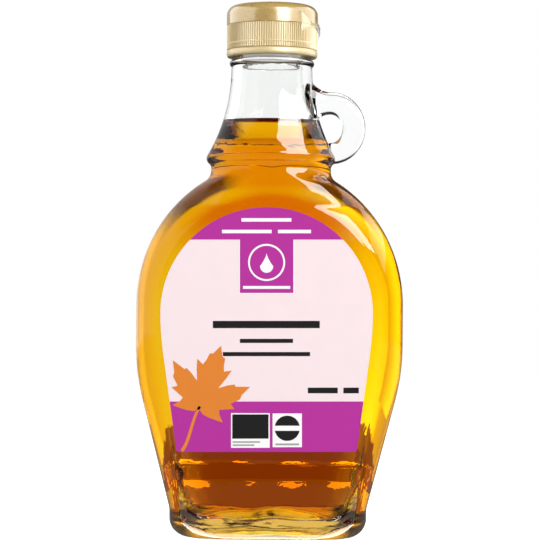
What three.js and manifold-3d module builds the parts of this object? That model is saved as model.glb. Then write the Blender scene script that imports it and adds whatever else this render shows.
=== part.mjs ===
// Handled glass flask of maple syrup: a flat-faced glass bottle with a loop handle at its neck,
// syrup up to the neck, a ribbed screw cap with its tear-off ring, a clear seal tab on the cap
// and a paper label on the front. Millimetres, +Z up, front towards -Y, handle towards +X.
// The origin is the centre of the foot, on the surface that the bottle stands on.
import * as THREE from "three";
import { mergeVertices } from "three/addons/utils/BufferGeometryUtils.js";
import Module from "manifold-3d";

const wasm = await Module();
wasm.setup();

// Driving dimensions of the body, as half-widths seen from the front and heights
const BODY_HALF_WIDTH = 43.35;
const PANEL_HALF_DEPTH = 20.8;
const BASE_HALF_DEPTH = 22;
const SHOULDER_FOOT = 75.1;
const SHOULDER_RISE = 46.3;
const SIDE_FOOT = 62.1;
const SIDE_CURVE_RADIUS = 71;
const SIDE_TAPER = THREE.MathUtils.degToRad(14.6);
const FOOT_HALF_WIDTH = 31.95;
const FOOT_WALL_TOP = 9.3;
const HEEL_RADIUS = 6;
const FOOT_RING_WIDTH = 3;
const FOOT_RING_FLAT = 12;
const PUSH_UP = 5.2;
const SMALLEST_CORNER = 0.8;

// The step between the label panel and the deeper base
const LEDGE_TOP = 24.4;
const LEDGE_FOOT = 17.2;

// The flat face: a round arch above straight sides that draw in towards the foot
const PANEL_ARCH_RADIUS = 35.3;
const PANEL_ARCH_CENTRE = 72.3;
const PANEL_SIDE_TOP = 64;
const PANEL_SIDE_SLOPE = 0.145;
const PANEL_FADE = 9;

// Waist, ring and neck
const WAIST_RADIUS = 19.56;
const WAIST_FOOT = 118.74;
const WAIST_CURVE = 4;
const WAIST_TOP = 120.1;
const RING_CENTRE = new THREE.Vector2(18.95, 122.8);
const RING_CURVE = 2.1;
const NECK_RADIUS = 13.2;
const NECK_TOP = 152.1;
const NECK_CURVE = 56.5;
const NECK_FLARE = THREE.MathUtils.degToRad(30);
const BEAD_HEIGHT = 153.9;
const BEAD_RADIUS = 14;
const BEAD_CURVE = 1;
const BEAD_TURN = THREE.MathUtils.degToRad(75);
const FINISH_RADIUS = 12.4;
const FINISH_FOOT = 155.2;
const RIM_HEIGHT = 171.2;
const RIM_CURVE = 0.9;

// Inside of the glass: rounder than the outside, so the wall is thickest beside the flat faces
const WALL = 2.9;
const PANEL_WALL = 2.2;
const INNER_FLAT_SHARE = 0.4;
const INNER_FADE_FOOT = 84;
const MOUTH_RADIUS = 9.7;
const MOUTH_FOOT = 156;
const MOUTH_CUT_TOP = 176;
const BORE_RADIUS = 10.3;
const BORE_TOP = 151;
const BORE_CURVE = 53.6;
const BORE_FLARE = THREE.MathUtils.degToRad(30);
const INNER_WAIST_RADIUS = 17;
const INNER_WAIST_FOOT = 118.4;
const INNER_WAIST_TOP = 119.8;
const INNER_WAIST_CURVE = 6;
const FLOOR_CENTRE = 9.4;
const FLOOR_EDGE = 6.3;
const FLOOR_CURVE = 4.5;

// Syrup
const SYRUP_LEVEL = 132.7;
const CLEARANCE = 0.3;

// Handle: a round bar on an oval path beside the neck
const HANDLE_CENTRE = new THREE.Vector2(19.5, 133);
const HANDLE_HALF_WIDTH = 7.45;
const HANDLE_HALF_HEIGHT = 8.2;
const HANDLE_BAR_RADIUS = 3.4;
const HANDLE_BAR_SWELL = 0.35;
const HANDLE_ARM = 7.6;
const HANDLE_FLARE = 4.6;
const HANDLE_FLARE_DEPTH = 0.45;
const HANDLE_END = THREE.MathUtils.degToRad(-100);
const HANDLE_STEPS = 20;
const HANDLE_SIDES = 12;

// Screw cap
const CAP_RADIUS = 14.85;
const CAP_TOP = 173.4;
const CAP_EDGE_CURVE = 3.2;
const CAP_DOME = 0.5;
const CAP_DOME_SHOULDER = 0.4;
const CAP_INNER_RADIUS = 13.4;
const CAP_CORE_RADIUS = 14.15;
const RIB_BURY = 0.2;
const CAP_INNER_TOP = 171.6;
const CAP_SMOOTH_FOOT = 166.2;
const CAP_FOOT = 158.4;
const CAP_SIDES = 40;
const RIB_COUNT = 120;
const RIB_CREST = 14.79;
const RIB_VALLEY = 14.45;
// Tear-off ring under the cap
const RING_TOP = 158.05;
const RING_FOOT = 155.9;
const RING_INNER_RADIUS = 13;

// Seal tab: a strip of clear film on the side of the cap, pinched in the middle
const TAB_FROM = THREE.MathUtils.degToRad(-53);
const TAB_TO = THREE.MathUtils.degToRad(12);
const TAB_HEIGHT = 165.8;
const TAB_HALF_END = 3;
const TAB_HALF_PINCH = 0.6;
const TAB_THICKNESS = 0.25;
const TAB_WIDENING = 1.3;
const TAB_STEPS = 12;

// Front label
const LABEL_ARCH_RADIUS = 33.8;
const LABEL_ARCH_CENTRE = 72.2;
const LABEL_SIDE_TOP = 66;
const LABEL_BEND = 8;
const LABEL_FOOT = 28.2;
const LABEL_FOOT_HALF_WIDTH = 28.6;
const LABEL_CORNER = 0.8;
const LABEL_THICKNESS = 0.25;
const LABEL_CURVE_STEPS = 18;

// Points round a section of the glass, and the share of them that a full flat face gets
const SIDES = 40;
const FLAT_POINT_SHARE = 0.45;

const glass = new THREE.MeshStandardMaterial({ color: 0xe6eae6, roughness: 0.03, metalness: 0 });
const syrupColour = new THREE.MeshStandardMaterial({ color: 0xd9730b, roughness: 0.05, metalness: 0 });
const goldPlastic = new THREE.MeshStandardMaterial({ color: 0xcdb07c, roughness: 0.35, metalness: 0.6 });
const clearFilm = new THREE.MeshStandardMaterial({ color: 0xf2ead6, roughness: 0.15, metalness: 0 });
const labelPaper = new THREE.MeshStandardMaterial({ color: 0xf3dfe2, roughness: 0.5, metalness: 0 });

// Points along part of an ellipse, angles in radians, from one to the other
function arc(centreX, centreZ, radiusX, radiusZ, from, to, steps) {
  const curve = new THREE.EllipseCurve(centreX, centreZ, radiusX, radiusZ, from, to, from > to);
  return curve.getPoints(steps);
}

// A closed mesh with its shared corners merged, empty faces dropped and its faces turned outwards
function solid(geometry) {
  const bare = geometry.clone();
  bare.deleteAttribute("normal");
  bare.deleteAttribute("uv");
  const merged = mergeVertices(bare, 1e-4);
  const positions = merged.getAttribute("position").array;
  const corners = merged.getIndex().array;
  const faces = [];
  let volume = 0;
  const a = new THREE.Vector3();
  const b = new THREE.Vector3();
  const c = new THREE.Vector3();
  for (let i = 0; i < corners.length; i += 3) {
    const [p, q, r] = corners.slice(i, i + 3);
    if (p === q || q === r || r === p) continue;
    faces.push(p, q, r);
    a.fromArray(positions, 3 * p);
    b.fromArray(positions, 3 * q);
    c.fromArray(positions, 3 * r);
    volume += a.dot(b.cross(c));
  }
  if (volume < 0) faces.reverse();
  const vertProperties = Float32Array.from(positions);
  const triVerts = Uint32Array.from(faces);
  return new wasm.Manifold(new wasm.Mesh({ numProp: 3, vertProperties, triVerts }));
}

// A solid as a named mesh
function piece(name, body, material) {
  const { vertProperties, triVerts } = body.getMesh();
  const geometry = new THREE.BufferGeometry();
  geometry.setAttribute("position", new THREE.BufferAttribute(vertProperties, 3));
  geometry.setIndex(new THREE.BufferAttribute(triVerts, 1));
  geometry.computeVertexNormals();
  const mesh = new THREE.Mesh(geometry, material);
  mesh.name = name;
  return mesh;
}

// One point of a level section: flat front and back faces joined by half-oval sides.
// The turn runs from 0 at +X, and the sides get the larger share of the points.
function sectionPoint({ wide, deep, flat }, turn) {
  const quarter = Math.min(Math.floor(turn * 4 + 1e-9), 3);
  const along = turn * 4 - quarter;
  const fromSide = quarter % 2 === 0 ? along : 1 - along;
  const sideShare = wide > 0 ? 1 - (FLAT_POINT_SHARE * flat) / wide : 1;
  let x;
  let y;
  if (fromSide <= sideShare) {
    const angle = (fromSide / sideShare) * (Math.PI / 2);
    x = flat + (wide - flat) * Math.cos(angle);
    y = deep * Math.sin(angle);
  } else {
    x = (flat * (1 - fromSide)) / (1 - sideShare);
    y = deep;
  }
  const right = quarter === 0 || quarter === 3;
  const back = quarter < 2;
  return [right ? x : -x, back ? y : -y];
}

// A solid through level sections, whose first and last rows lie on the axis
function sectionedSolid(rows) {
  const outline = rows.map(({ wide, z }) => new THREE.Vector2(wide, z));
  const geometry = new THREE.LatheGeometry(outline, SIDES);
  const position = geometry.getAttribute("position");
  for (let i = 0; i < position.count; i++) {
    const row = rows[i % rows.length];
    const turn = (Math.floor(i / rows.length) % SIDES) / SIDES;
    const [x, y] = sectionPoint(row, turn);
    position.setXYZ(i, x, y, row.z);
  }
  return solid(geometry);
}

// Half-width of the flat face at a height
function panelHalfWidth(z) {
  if (z <= PANEL_SIDE_TOP) return PANEL_ARCH_RADIUS - PANEL_SIDE_SLOPE * (PANEL_SIDE_TOP - z);
  const rise = Math.max(0, z - PANEL_ARCH_CENTRE);
  return Math.sqrt(Math.max(0, PANEL_ARCH_RADIUS ** 2 - rise ** 2));
}

// Half-depth of the body at a height: round waist, flat panel, then the step out to the base
function bodyHalfDepth(z) {
  const fade = THREE.MathUtils.smoothstep(z, WAIST_FOOT - PANEL_FADE, WAIST_FOOT);
  const step = 1 - THREE.MathUtils.smoothstep(z, LEDGE_FOOT, LEDGE_TOP);
  const panel = THREE.MathUtils.lerp(PANEL_HALF_DEPTH, WAIST_RADIUS, fade);
  return THREE.MathUtils.lerp(panel, BASE_HALF_DEPTH, step);
}

// Half-width of the side below the shoulder
function sideHalfWidth(z) {
  const drop = SIDE_FOOT - z;
  const curveEnd = SIDE_CURVE_RADIUS * Math.sin(SIDE_TAPER);
  if (drop <= 0) return BODY_HALF_WIDTH;
  if (drop <= curveEnd) {
    return BODY_HALF_WIDTH - SIDE_CURVE_RADIUS + Math.sqrt(SIDE_CURVE_RADIUS ** 2 - drop ** 2);
  }
  const atCurveEnd = BODY_HALF_WIDTH - SIDE_CURVE_RADIUS * (1 - Math.cos(SIDE_TAPER));
  return Math.max(FOOT_HALF_WIDTH, atCurveEnd - (drop - curveEnd) * Math.tan(SIDE_TAPER));
}

// The shoulder's ellipse up to where it touches the round hollow of a waist
function shoulder(halfWidth, rise, waistRadius, waistCurve, steps) {
  let angle = Math.PI / 3;
  for (let i = 0; i < 30; i++) {
    const normal = new THREE.Vector2(Math.cos(angle) / halfWidth, Math.sin(angle) / rise).normalize();
    const gap = halfWidth * Math.cos(angle) + waistCurve * normal.x - waistRadius - waistCurve;
    angle += gap / halfWidth;
  }
  return arc(0, SHOULDER_FOOT, halfWidth, rise, 0, angle, steps);
}

// The hollow of a waist, from the end of the shoulder up to its narrowest point
function waistHollow(shoulderEnd, waistRadius, waistFoot, waistCurve, steps) {
  const centreX = waistRadius + waistCurve;
  const start = Math.atan2(shoulderEnd.y - waistFoot, shoulderEnd.x - centreX);
  return arc(centreX, waistFoot, waistCurve, waistCurve, start, -Math.PI, steps).slice(1);
}

// Rows of the round part of the bottle
const roundRow = ({ x, y }) => ({ wide: x, deep: x, flat: 0, z: y });

// Outside of the glass, from the middle of the underside to the middle of the mouth
function outerRows() {
  const heelFlat = panelHalfWidth(HEEL_RADIUS);
  const inset = (offset, z) => ({
    wide: FOOT_HALF_WIDTH - offset,
    deep: BASE_HALF_DEPTH - offset,
    flat: THREE.MathUtils.lerp(FOOT_RING_FLAT, heelFlat, z / HEEL_RADIUS),
    z,
  });
  const ringInner = inset(HEEL_RADIUS + FOOT_RING_WIDTH, 0);
  const underside = [0, 0.5, 0.85, 1].map((share) => ({
    wide: ringInner.wide * share,
    deep: ringInner.deep * share,
    flat: ringInner.flat * share,
    z: PUSH_UP * (1 - share ** 3),
  }));
  const heel = [];
  for (const angle of [0, 30, 60, 90]) {
    const turn = THREE.MathUtils.degToRad(angle);
    heel.push(inset(HEEL_RADIUS * (1 - Math.sin(turn)), HEEL_RADIUS * (1 - Math.cos(turn))));
  }
  const levels = [FOOT_WALL_TOP, 11.4, LEDGE_FOOT, 18.9, 20.8, 22.7, LEDGE_TOP, 44.4, 53, SIDE_FOOT];
  const sides = levels.map((z) => ({ wide: sideHalfWidth(z), z }));
  const shoulderLine = shoulder(BODY_HALF_WIDTH, SHOULDER_RISE, WAIST_RADIUS, WAIST_CURVE, 10);
  const hollow = waistHollow(shoulderLine.at(-1), WAIST_RADIUS, WAIST_FOOT, WAIST_CURVE, 2);
  const bodyLine = [...shoulderLine, ...hollow];
  for (const { x, y } of bodyLine) sides.push({ wide: x, z: y });
  const body = sides.map(({ wide, z }) => ({
    wide,
    deep: Math.min(bodyHalfDepth(z), z >= WAIST_FOOT ? wide : Infinity),
    flat: Math.min(panelHalfWidth(z), wide),
    z,
  }));
  const ringArc = arc(RING_CENTRE.x, RING_CENTRE.y, RING_CURVE, RING_CURVE, -Math.PI / 3, NECK_FLARE, 4);
  const neckArc = arc(
    NECK_RADIUS + NECK_CURVE, NECK_TOP, NECK_CURVE, NECK_CURVE, -Math.PI + NECK_FLARE, -Math.PI, 5,
  ).slice(1);
  const beadCentre = BEAD_RADIUS - BEAD_CURVE;
  const bead = arc(beadCentre, BEAD_HEIGHT, BEAD_CURVE, BEAD_CURVE, -BEAD_TURN, BEAD_TURN, 3);
  const rimX = FINISH_RADIUS - RIM_CURVE;
  const rimZ = RIM_HEIGHT - RIM_CURVE;
  const rim = arc(rimX, rimZ, RIM_CURVE, RIM_CURVE, 0, Math.PI / 2, 2);
  const upper = [
    new THREE.Vector2(WAIST_RADIUS, WAIST_TOP),
    ...ringArc,
    ...neckArc,
    ...bead,
    new THREE.Vector2(FINISH_RADIUS, FINISH_FOOT),
    ...rim,
    new THREE.Vector2(0, RIM_HEIGHT),
  ].map(roundRow);
  return [...underside, ...heel, ...body, ...upper];
}

// Half-depth of the inside at a height: straight past the step, and drawn in to the waist above
function innerHalfDepth(z) {
  const share = THREE.MathUtils.smoothstep(z, INNER_FADE_FOOT, INNER_WAIST_FOOT);
  return THREE.MathUtils.lerp(PANEL_HALF_DEPTH - PANEL_WALL, INNER_WAIST_RADIUS, share);
}

// Inside of the glass below the neck, drawn in by a clearance, from the middle of the floor up
function innerBodyRows(clearance) {
  const cornerTop = FLOOR_EDGE + FLOOR_CURVE;
  const wide = sideHalfWidth(cornerTop) - WALL - clearance;
  const deep = innerHalfDepth(cornerTop) - clearance;
  const flat = INNER_FLAT_SHARE * panelHalfWidth(cornerTop);
  const corner = [0, 45, 90].map((angle) => {
    const turn = THREE.MathUtils.degToRad(angle);
    const offset = FLOOR_CURVE * (1 - Math.sin(turn));
    return {
      wide: wide - offset,
      deep: deep - offset,
      flat: Math.min(flat, wide - offset - SMALLEST_CORNER),
      z: FLOOR_EDGE + FLOOR_CURVE * (1 - Math.cos(turn)) + clearance,
    };
  });
  const edge = corner[0];
  const floor = [0, 0.6].map((share) => ({
    wide: edge.wide * share,
    deep: edge.deep * share,
    flat: edge.flat * share,
    z: THREE.MathUtils.lerp(FLOOR_CENTRE, FLOOR_EDGE, share ** 2) + clearance,
  }));
  const levels = [LEDGE_FOOT, LEDGE_TOP, 44.4, 53, SIDE_FOOT];
  const sides = levels.map((z) => ({ wide: sideHalfWidth(z) - WALL, z }));
  const halfWidth = BODY_HALF_WIDTH - WALL;
  const line = shoulder(halfWidth, SHOULDER_RISE - WALL, INNER_WAIST_RADIUS, INNER_WAIST_CURVE, 8);
  const hollow = waistHollow(line.at(-1), INNER_WAIST_RADIUS, INNER_WAIST_FOOT, INNER_WAIST_CURVE, 2);
  const bodyLine = [...line, ...hollow];
  for (const { x, y } of bodyLine) sides.push({ wide: x, z: y });
  const body = sides.map(({ wide: reach, z }) => ({
    wide: reach - clearance,
    deep: innerHalfDepth(z) - clearance,
    flat: INNER_FLAT_SHARE * Math.min(panelHalfWidth(z), reach),
    z,
  }));
  return [...floor, ...corner, ...body];
}

// The flare of the bore above the waist, with the rows up to a height
function boreRows(clearance, top) {
  const centreX = BORE_RADIUS + BORE_CURVE;
  const flare = arc(centreX, BORE_TOP, BORE_CURVE, BORE_CURVE, -Math.PI + BORE_FLARE, -Math.PI, 5);
  const belowTop = flare.filter(({ y }) => y < top - CLEARANCE);
  const drop = Math.max(0, BORE_TOP - top);
  const radiusAtTop = centreX - Math.sqrt(BORE_CURVE ** 2 - drop ** 2);
  const waistTop = new THREE.Vector2(INNER_WAIST_RADIUS, INNER_WAIST_TOP);
  return [waistTop, ...belowTop, new THREE.Vector2(radiusAtTop, top)]
    .map(({ x, y }) => roundRow({ x: x - clearance, y }));
}

// One point of the handle's surface: its path leaves the neck level and loops down to the ring
function handleCentre(along) {
  const sweep = Math.PI / 2 - HANDLE_END;
  const loopLength = sweep * HANDLE_HALF_HEIGHT;
  const distance = along * (HANDLE_ARM + loopLength);
  const top = HANDLE_CENTRE.y + HANDLE_HALF_HEIGHT;
  if (distance < HANDLE_ARM) {
    return new THREE.Vector2(HANDLE_CENTRE.x - HANDLE_ARM + distance, top);
  }
  const angle = Math.PI / 2 - sweep * ((distance - HANDLE_ARM) / loopLength);
  const x = HANDLE_CENTRE.x + HANDLE_HALF_WIDTH * Math.cos(angle);
  return new THREE.Vector2(x, HANDLE_CENTRE.y + HANDLE_HALF_HEIGHT * Math.sin(angle));
}

function handle() {
  const geometry = new THREE.CylinderGeometry(1, 1, 1, HANDLE_SIDES, HANDLE_STEPS);
  const position = geometry.getAttribute("position");
  const step = 1e-3;
  for (let i = 0; i < position.count; i++) {
    const along = position.getY(i) + 0.5;
    const centre = handleCentre(along);
    const ahead = handleCentre(along + step).sub(handleCentre(along - step)).normalize();
    const reach = Math.max(0, HANDLE_CENTRE.x - centre.x) / HANDLE_ARM;
    const atArm = centre.y > HANDLE_CENTRE.y ? reach : 0;
    const swell = HANDLE_BAR_SWELL * Math.sin(Math.PI * along);
    const bar = HANDLE_BAR_RADIUS + swell;
    const inPlane = position.getX(i) * (bar + HANDLE_FLARE * atArm ** 2);
    const across = position.getZ(i) * (bar + HANDLE_FLARE * HANDLE_FLARE_DEPTH * atArm ** 2);
    position.setXYZ(i, centre.x - ahead.y * inPlane, across, centre.y + ahead.x * inPlane);
  }
  return solid(geometry);
}

// A piece of the cap turned on the axis, from a closed outline or one that ends on the axis
function turned(outline) {
  const geometry = new THREE.LatheGeometry(outline, CAP_SIDES);
  geometry.rotateX(Math.PI / 2);
  return solid(geometry);
}

function cap() {
  const edge = arc(
    CAP_RADIUS - CAP_EDGE_CURVE, CAP_TOP - CAP_DOME - CAP_EDGE_CURVE,
    CAP_EDGE_CURVE, CAP_EDGE_CURVE, 0, Math.PI / 2, 4,
  );
  const cup = turned([
    new THREE.Vector2(0, CAP_INNER_TOP),
    new THREE.Vector2(CAP_INNER_RADIUS, CAP_INNER_TOP),
    new THREE.Vector2(CAP_INNER_RADIUS, CAP_FOOT),
    new THREE.Vector2(CAP_CORE_RADIUS, CAP_FOOT),
    new THREE.Vector2(CAP_CORE_RADIUS, CAP_SMOOTH_FOOT),
    new THREE.Vector2(CAP_RADIUS, CAP_SMOOTH_FOOT),
    ...edge,
    new THREE.Vector2(CAP_RADIUS * CAP_DOME_SHOULDER, CAP_TOP - CAP_DOME * CAP_DOME_SHOULDER ** 2),
    new THREE.Vector2(0, CAP_TOP),
  ]);
  const crown = new THREE.Shape();
  for (let i = 0; i < 2 * RIB_COUNT; i++) {
    const radius = i % 2 === 0 ? RIB_CREST : RIB_VALLEY;
    const angle = (Math.PI * i) / RIB_COUNT;
    const corner = [radius * Math.cos(angle), radius * Math.sin(angle)];
    if (i === 0) crown.moveTo(...corner);
    else crown.lineTo(...corner);
  }
  const hole = new THREE.Path();
  hole.absarc(0, 0, (CAP_INNER_RADIUS + CAP_CORE_RADIUS) / 2, 0, 2 * Math.PI, true);
  crown.holes.push(hole);
  const depth = CAP_SMOOTH_FOOT - CAP_FOOT + RIB_BURY;
  const ribs = new THREE.ExtrudeGeometry(crown, { depth, bevelEnabled: false, curveSegments: CAP_SIDES });
  ribs.translate(0, 0, CAP_FOOT);
  return cup.add(solid(ribs));
}

function tearRing() {
  const middle = (RING_TOP + RING_FOOT) / 2;
  const halfHeight = (RING_TOP - RING_FOOT) / 2;
  const bulge = halfHeight / 2;
  const outside = arc(CAP_RADIUS - bulge, middle, bulge, halfHeight, -Math.PI / 2, Math.PI / 2, 4);
  const outline = [
    new THREE.Vector2(RING_INNER_RADIUS, RING_FOOT),
    ...outside,
    new THREE.Vector2(RING_INNER_RADIUS, RING_TOP),
    new THREE.Vector2(RING_INNER_RADIUS, RING_FOOT),
  ];
  return turned(outline);
}

function sealTab() {
  const geometry = new THREE.BoxGeometry(1, 1, 1, TAB_STEPS, 1, 1);
  const position = geometry.getAttribute("position");
  for (let i = 0; i < position.count; i++) {
    const along = position.getX(i) + 0.5;
    const angle = THREE.MathUtils.lerp(TAB_FROM, TAB_TO, along);
    const spread = Math.abs(2 * along - 1) ** TAB_WIDENING;
    const halfHeight = THREE.MathUtils.lerp(TAB_HALF_PINCH, TAB_HALF_END, spread);
    const radius = CAP_RADIUS + CLEARANCE + TAB_THICKNESS * (position.getZ(i) + 0.5);
    const z = TAB_HEIGHT + 2 * halfHeight * position.getY(i);
    position.setXYZ(i, radius * Math.cos(angle), radius * Math.sin(angle), z);
  }
  return solid(geometry);
}

function frontLabel() {
  const shape = new THREE.Shape();
  const half = LABEL_FOOT_HALF_WIDTH;
  const reach = LABEL_ARCH_RADIUS;
  const slope = (reach - half) / (LABEL_SIDE_TOP - LABEL_FOOT);
  const taperTop = LABEL_SIDE_TOP - LABEL_BEND;
  const taperReach = reach - slope * LABEL_BEND;
  const cornerTop = LABEL_FOOT + LABEL_CORNER;
  const cornerReach = half + slope * LABEL_CORNER;
  shape.moveTo(-half + LABEL_CORNER, LABEL_FOOT);
  shape.lineTo(half - LABEL_CORNER, LABEL_FOOT);
  shape.quadraticCurveTo(half, LABEL_FOOT, cornerReach, cornerTop);
  shape.lineTo(taperReach, taperTop);
  shape.quadraticCurveTo(reach, LABEL_SIDE_TOP, reach, LABEL_ARCH_CENTRE);
  shape.absarc(0, LABEL_ARCH_CENTRE, reach, 0, Math.PI, false);
  shape.quadraticCurveTo(-reach, LABEL_SIDE_TOP, -taperReach, taperTop);
  shape.lineTo(-cornerReach, cornerTop);
  shape.quadraticCurveTo(-half, LABEL_FOOT, -half + LABEL_CORNER, LABEL_FOOT);
  const settings = { depth: LABEL_THICKNESS, bevelEnabled: false, curveSegments: LABEL_CURVE_STEPS };
  const geometry = new THREE.ExtrudeGeometry(shape, settings);
  geometry.rotateX(Math.PI / 2);
  geometry.translate(0, -PANEL_HALF_DEPTH - CLEARANCE, 0);
  return solid(geometry);
}

const cavity = sectionedSolid([
  ...innerBodyRows(0),
  ...boreRows(0, BORE_TOP),
  roundRow({ x: MOUTH_RADIUS, y: MOUTH_FOOT }),
  roundRow({ x: MOUTH_RADIUS, y: MOUTH_CUT_TOP }),
  roundRow({ x: 0, y: MOUTH_CUT_TOP }),
]);
const syrup = sectionedSolid([
  ...innerBodyRows(CLEARANCE),
  ...boreRows(CLEARANCE, SYRUP_LEVEL),
  roundRow({ x: 0, y: SYRUP_LEVEL }),
]);
const bottle = sectionedSolid(outerRows()).add(handle()).subtract(cavity);

const flask = new THREE.Group();
flask.add(
  piece("bottle_glass", bottle, glass),
  piece("syrup", syrup, syrupColour),
  piece("cap", cap(), goldPlastic),
  piece("tear_ring", tearRing(), goldPlastic),
  piece("seal_tab", sealTab(), clearFilm),
  piece("front_label", frontLabel(), labelPaper),
);

export default flask;
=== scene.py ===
import math
import random

import bmesh
import bpy
from mathutils import Matrix, Vector


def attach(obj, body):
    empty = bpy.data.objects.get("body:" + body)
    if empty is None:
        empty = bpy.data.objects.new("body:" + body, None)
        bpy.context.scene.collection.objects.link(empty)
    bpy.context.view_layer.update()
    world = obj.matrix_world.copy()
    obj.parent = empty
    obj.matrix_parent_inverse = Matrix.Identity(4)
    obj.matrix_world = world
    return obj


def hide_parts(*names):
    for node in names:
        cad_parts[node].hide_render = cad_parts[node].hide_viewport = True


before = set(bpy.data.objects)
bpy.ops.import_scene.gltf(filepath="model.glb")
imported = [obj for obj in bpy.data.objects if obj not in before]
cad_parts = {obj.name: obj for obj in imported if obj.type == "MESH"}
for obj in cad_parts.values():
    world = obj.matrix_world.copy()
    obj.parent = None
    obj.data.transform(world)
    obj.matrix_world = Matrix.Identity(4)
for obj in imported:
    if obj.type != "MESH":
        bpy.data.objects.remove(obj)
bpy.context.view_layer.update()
MM = 0.001

# Body of the glass, as half-widths seen from the front and heights
BODY_HALF_WIDTH = 43.35
PANEL_HALF_DEPTH = 20.8
BASE_HALF_DEPTH = 22
SHOULDER_FOOT = 75.1
SHOULDER_RISE = 46.3
SIDE_FOOT = 62.1
SIDE_CURVE_RADIUS = 71
SIDE_TAPER = math.radians(14.6)
FOOT_HALF_WIDTH = 31.95
HEEL_RADIUS = 6
FOOT_RING_WIDTH = 3
FOOT_RING_FLAT = 12
PUSH_UP = 5.2
SMALLEST_CORNER = 0.8
LEDGE_TOP = 24.4
LEDGE_FOOT = 18.7
PANEL_ARCH_RADIUS = 35.3
PANEL_ARCH_CENTRE = 72.3
PANEL_SIDE_TOP = 64
PANEL_SIDE_SLOPE = 0.145
PANEL_FADE = 9
SHOULDER_FLAT = 9
SHOULDER_FLAT_FADE = (113, 120)

# Waist, ring, neck and finish
WAIST_RADIUS = 19.56
WAIST_FOOT = 118.74
WAIST_CURVE = 4
WAIST_TOP = 120.1
RING_X = 18.95
RING_Z = 122.8
RING_CURVE = 2.1
NECK_RADIUS = 13.2
NECK_TOP = 152.1
NECK_CURVE = 56.5
NECK_FLARE = math.radians(30)
BEAD_HEIGHT = 153.9
BEAD_RADIUS = 13.8
BEAD_CURVE = 1
BEAD_HALF_HEIGHT = 1.1
BEAD_TURN = math.radians(75)
FINISH_RADIUS = 12.4
FINISH_FOOT = 155.2
RIM_HEIGHT = 171.2
RIM_CURVE = 0.9

# Inside of the glass
WALL = 2.9
PANEL_WALL = 2.2
FOOT_WALL_EXTRA = 3.4
FOOT_WALL_FADE = (5, 20)
INNER_FLAT_SHARE = 0.4
MOUTH_RADIUS = 9.7
BORE_RADIUS = 10.3
BORE_TOP = 151
BORE_CURVE = 53.6
BORE_FLARE = math.radians(30)
INNER_WAIST_RADIUS = 17
INNER_WAIST_FOOT = 118.4
INNER_WAIST_TOP = 119.8
INNER_WAIST_CURVE = 6
INNER_FADE_FOOT = 84
FLOOR_CENTRE = 9.4
FLOOR_EDGE = 6.3
FLOOR_CURVE = 4.5
FLOOR_SIDE_CURVE = 7

# Syrup
SYRUP_LEVEL = 132.7
SYRUP_OVERLAP = 0.15
MENISCUS_RISE = 2.1
MENISCUS_LENGTH = 1.7

# Handle
HANDLE_X = 19.5
HANDLE_Z = 133
HANDLE_HALF_WIDTH = 7.45
HANDLE_HALF_HEIGHT = 8.2
HANDLE_BAR_RADIUS = 3.4
HANDLE_BAR_SWELL = 0.35
HANDLE_ARM = 7.6
HANDLE_FLARE = 4.6
HANDLE_FLARE_DEPTH = 0.45
HANDLE_END = math.radians(-100)
HANDLE_STEPS = 110
HANDLE_SIDES = 48
HANDLE_BURY = 1.2

# Cap, ring and tab
CAP_RADIUS = 14.85
CAP_TOP = 173.4
CAP_EDGE_CURVE = 3.2
CAP_DOME = 0.5
CAP_INNER_RADIUS = 13.4
CAP_INNER_TOP = 171.6
CAP_LIP_FOOT = 166.2
CAP_LIP_CURVE = 0.35
CAP_FOOT = 158.3
CAP_SIDES = 192
RIB_COUNT = 120
RIB_CREST = 14.79
RIB_VALLEY = 14.42
RIB_WIDTH = 0.52
RIB_BURY = 0.12
RIB_FOOT = 0.1
SKIRT_CURVE = 0.2
LIP_GAP = 0.02
RIB_HOOP = 160.2
RIB_HOOP_OUT = 0.26
RIB_HOOP_HALF = 0.35
RING_TOP = 158.25
RING_FOOT = 155.9
RING_INNER_RADIUS = 13
RING_BEVEL = 0.15
PLUG_RADIUS = 9.5
PLUG_FOOT = 154.7
PLUG_WALL = 0.8
PLUG_CURVE = 0.5
PLUG_BURY = 0.1
TAB_FROM = math.radians(-53)
TAB_TO = math.radians(12)
TAB_PINCH = 0.42
TAB_LEFT = (166.8, 3.3)
TAB_MIDDLE = (165.8, 0.5)
TAB_RIGHT = (165.1, 2.8)
TAB_STAND = (0.35, 1.25)
TAB_FOLD = 0.16
TAB_CRUMPLE = 0.03
TAB_THICKNESS = 0.1
TAB_ROWS = 12
TAB_STEPS = 40

# Label
LABEL_ARCH_RADIUS = 33.8
LABEL_ARCH_CENTRE = 72.2
LABEL_SIDE_TOP = 66
LABEL_BEND = 8
LABEL_FOOT = 28.2
LABEL_FOOT_HALF_WIDTH = 28.6
LABEL_CORNER = 0.8
LABEL_THICKNESS = 0.14
LABEL_BURY = 0.05
LABEL_SHIFT = -0.9
LABEL_TURN = math.radians(0.54)
PRINT_STEP = 0.03
PRINT_BURY = 0.01

# Resolution of the fine surfaces
SIDES = 192
FLAT_POINT_SHARE = 0.25
FLOOR_STEPS = 14
HEEL_STEPS = 14
CORNER_STEPS = 12
SHOULDER_STEPS = 56
INNER_SHOULDER_STEPS = 50
HOLLOW_STEPS = 10
NECK_STEPS = 40
BORE_STEPS = 44
SURFACE_STEPS = 40

# Photograph's framing
IMAGE_SIZE = 540
MM_PER_PIXEL = 0.326
SENSOR = 36
CAMERA_DISTANCE = 860
CAMERA_HEIGHT = 62
AIM_HEIGHT = 86.6
BOTTLE_LEAN = math.radians(0.54)


def smoothstep(value, low, high):
    share = min(max((value - low) / (high - low), 0), 1)
    return share * share * (3 - 2 * share)


def lerp(a, b, share):
    return a + (b - a) * share


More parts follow.
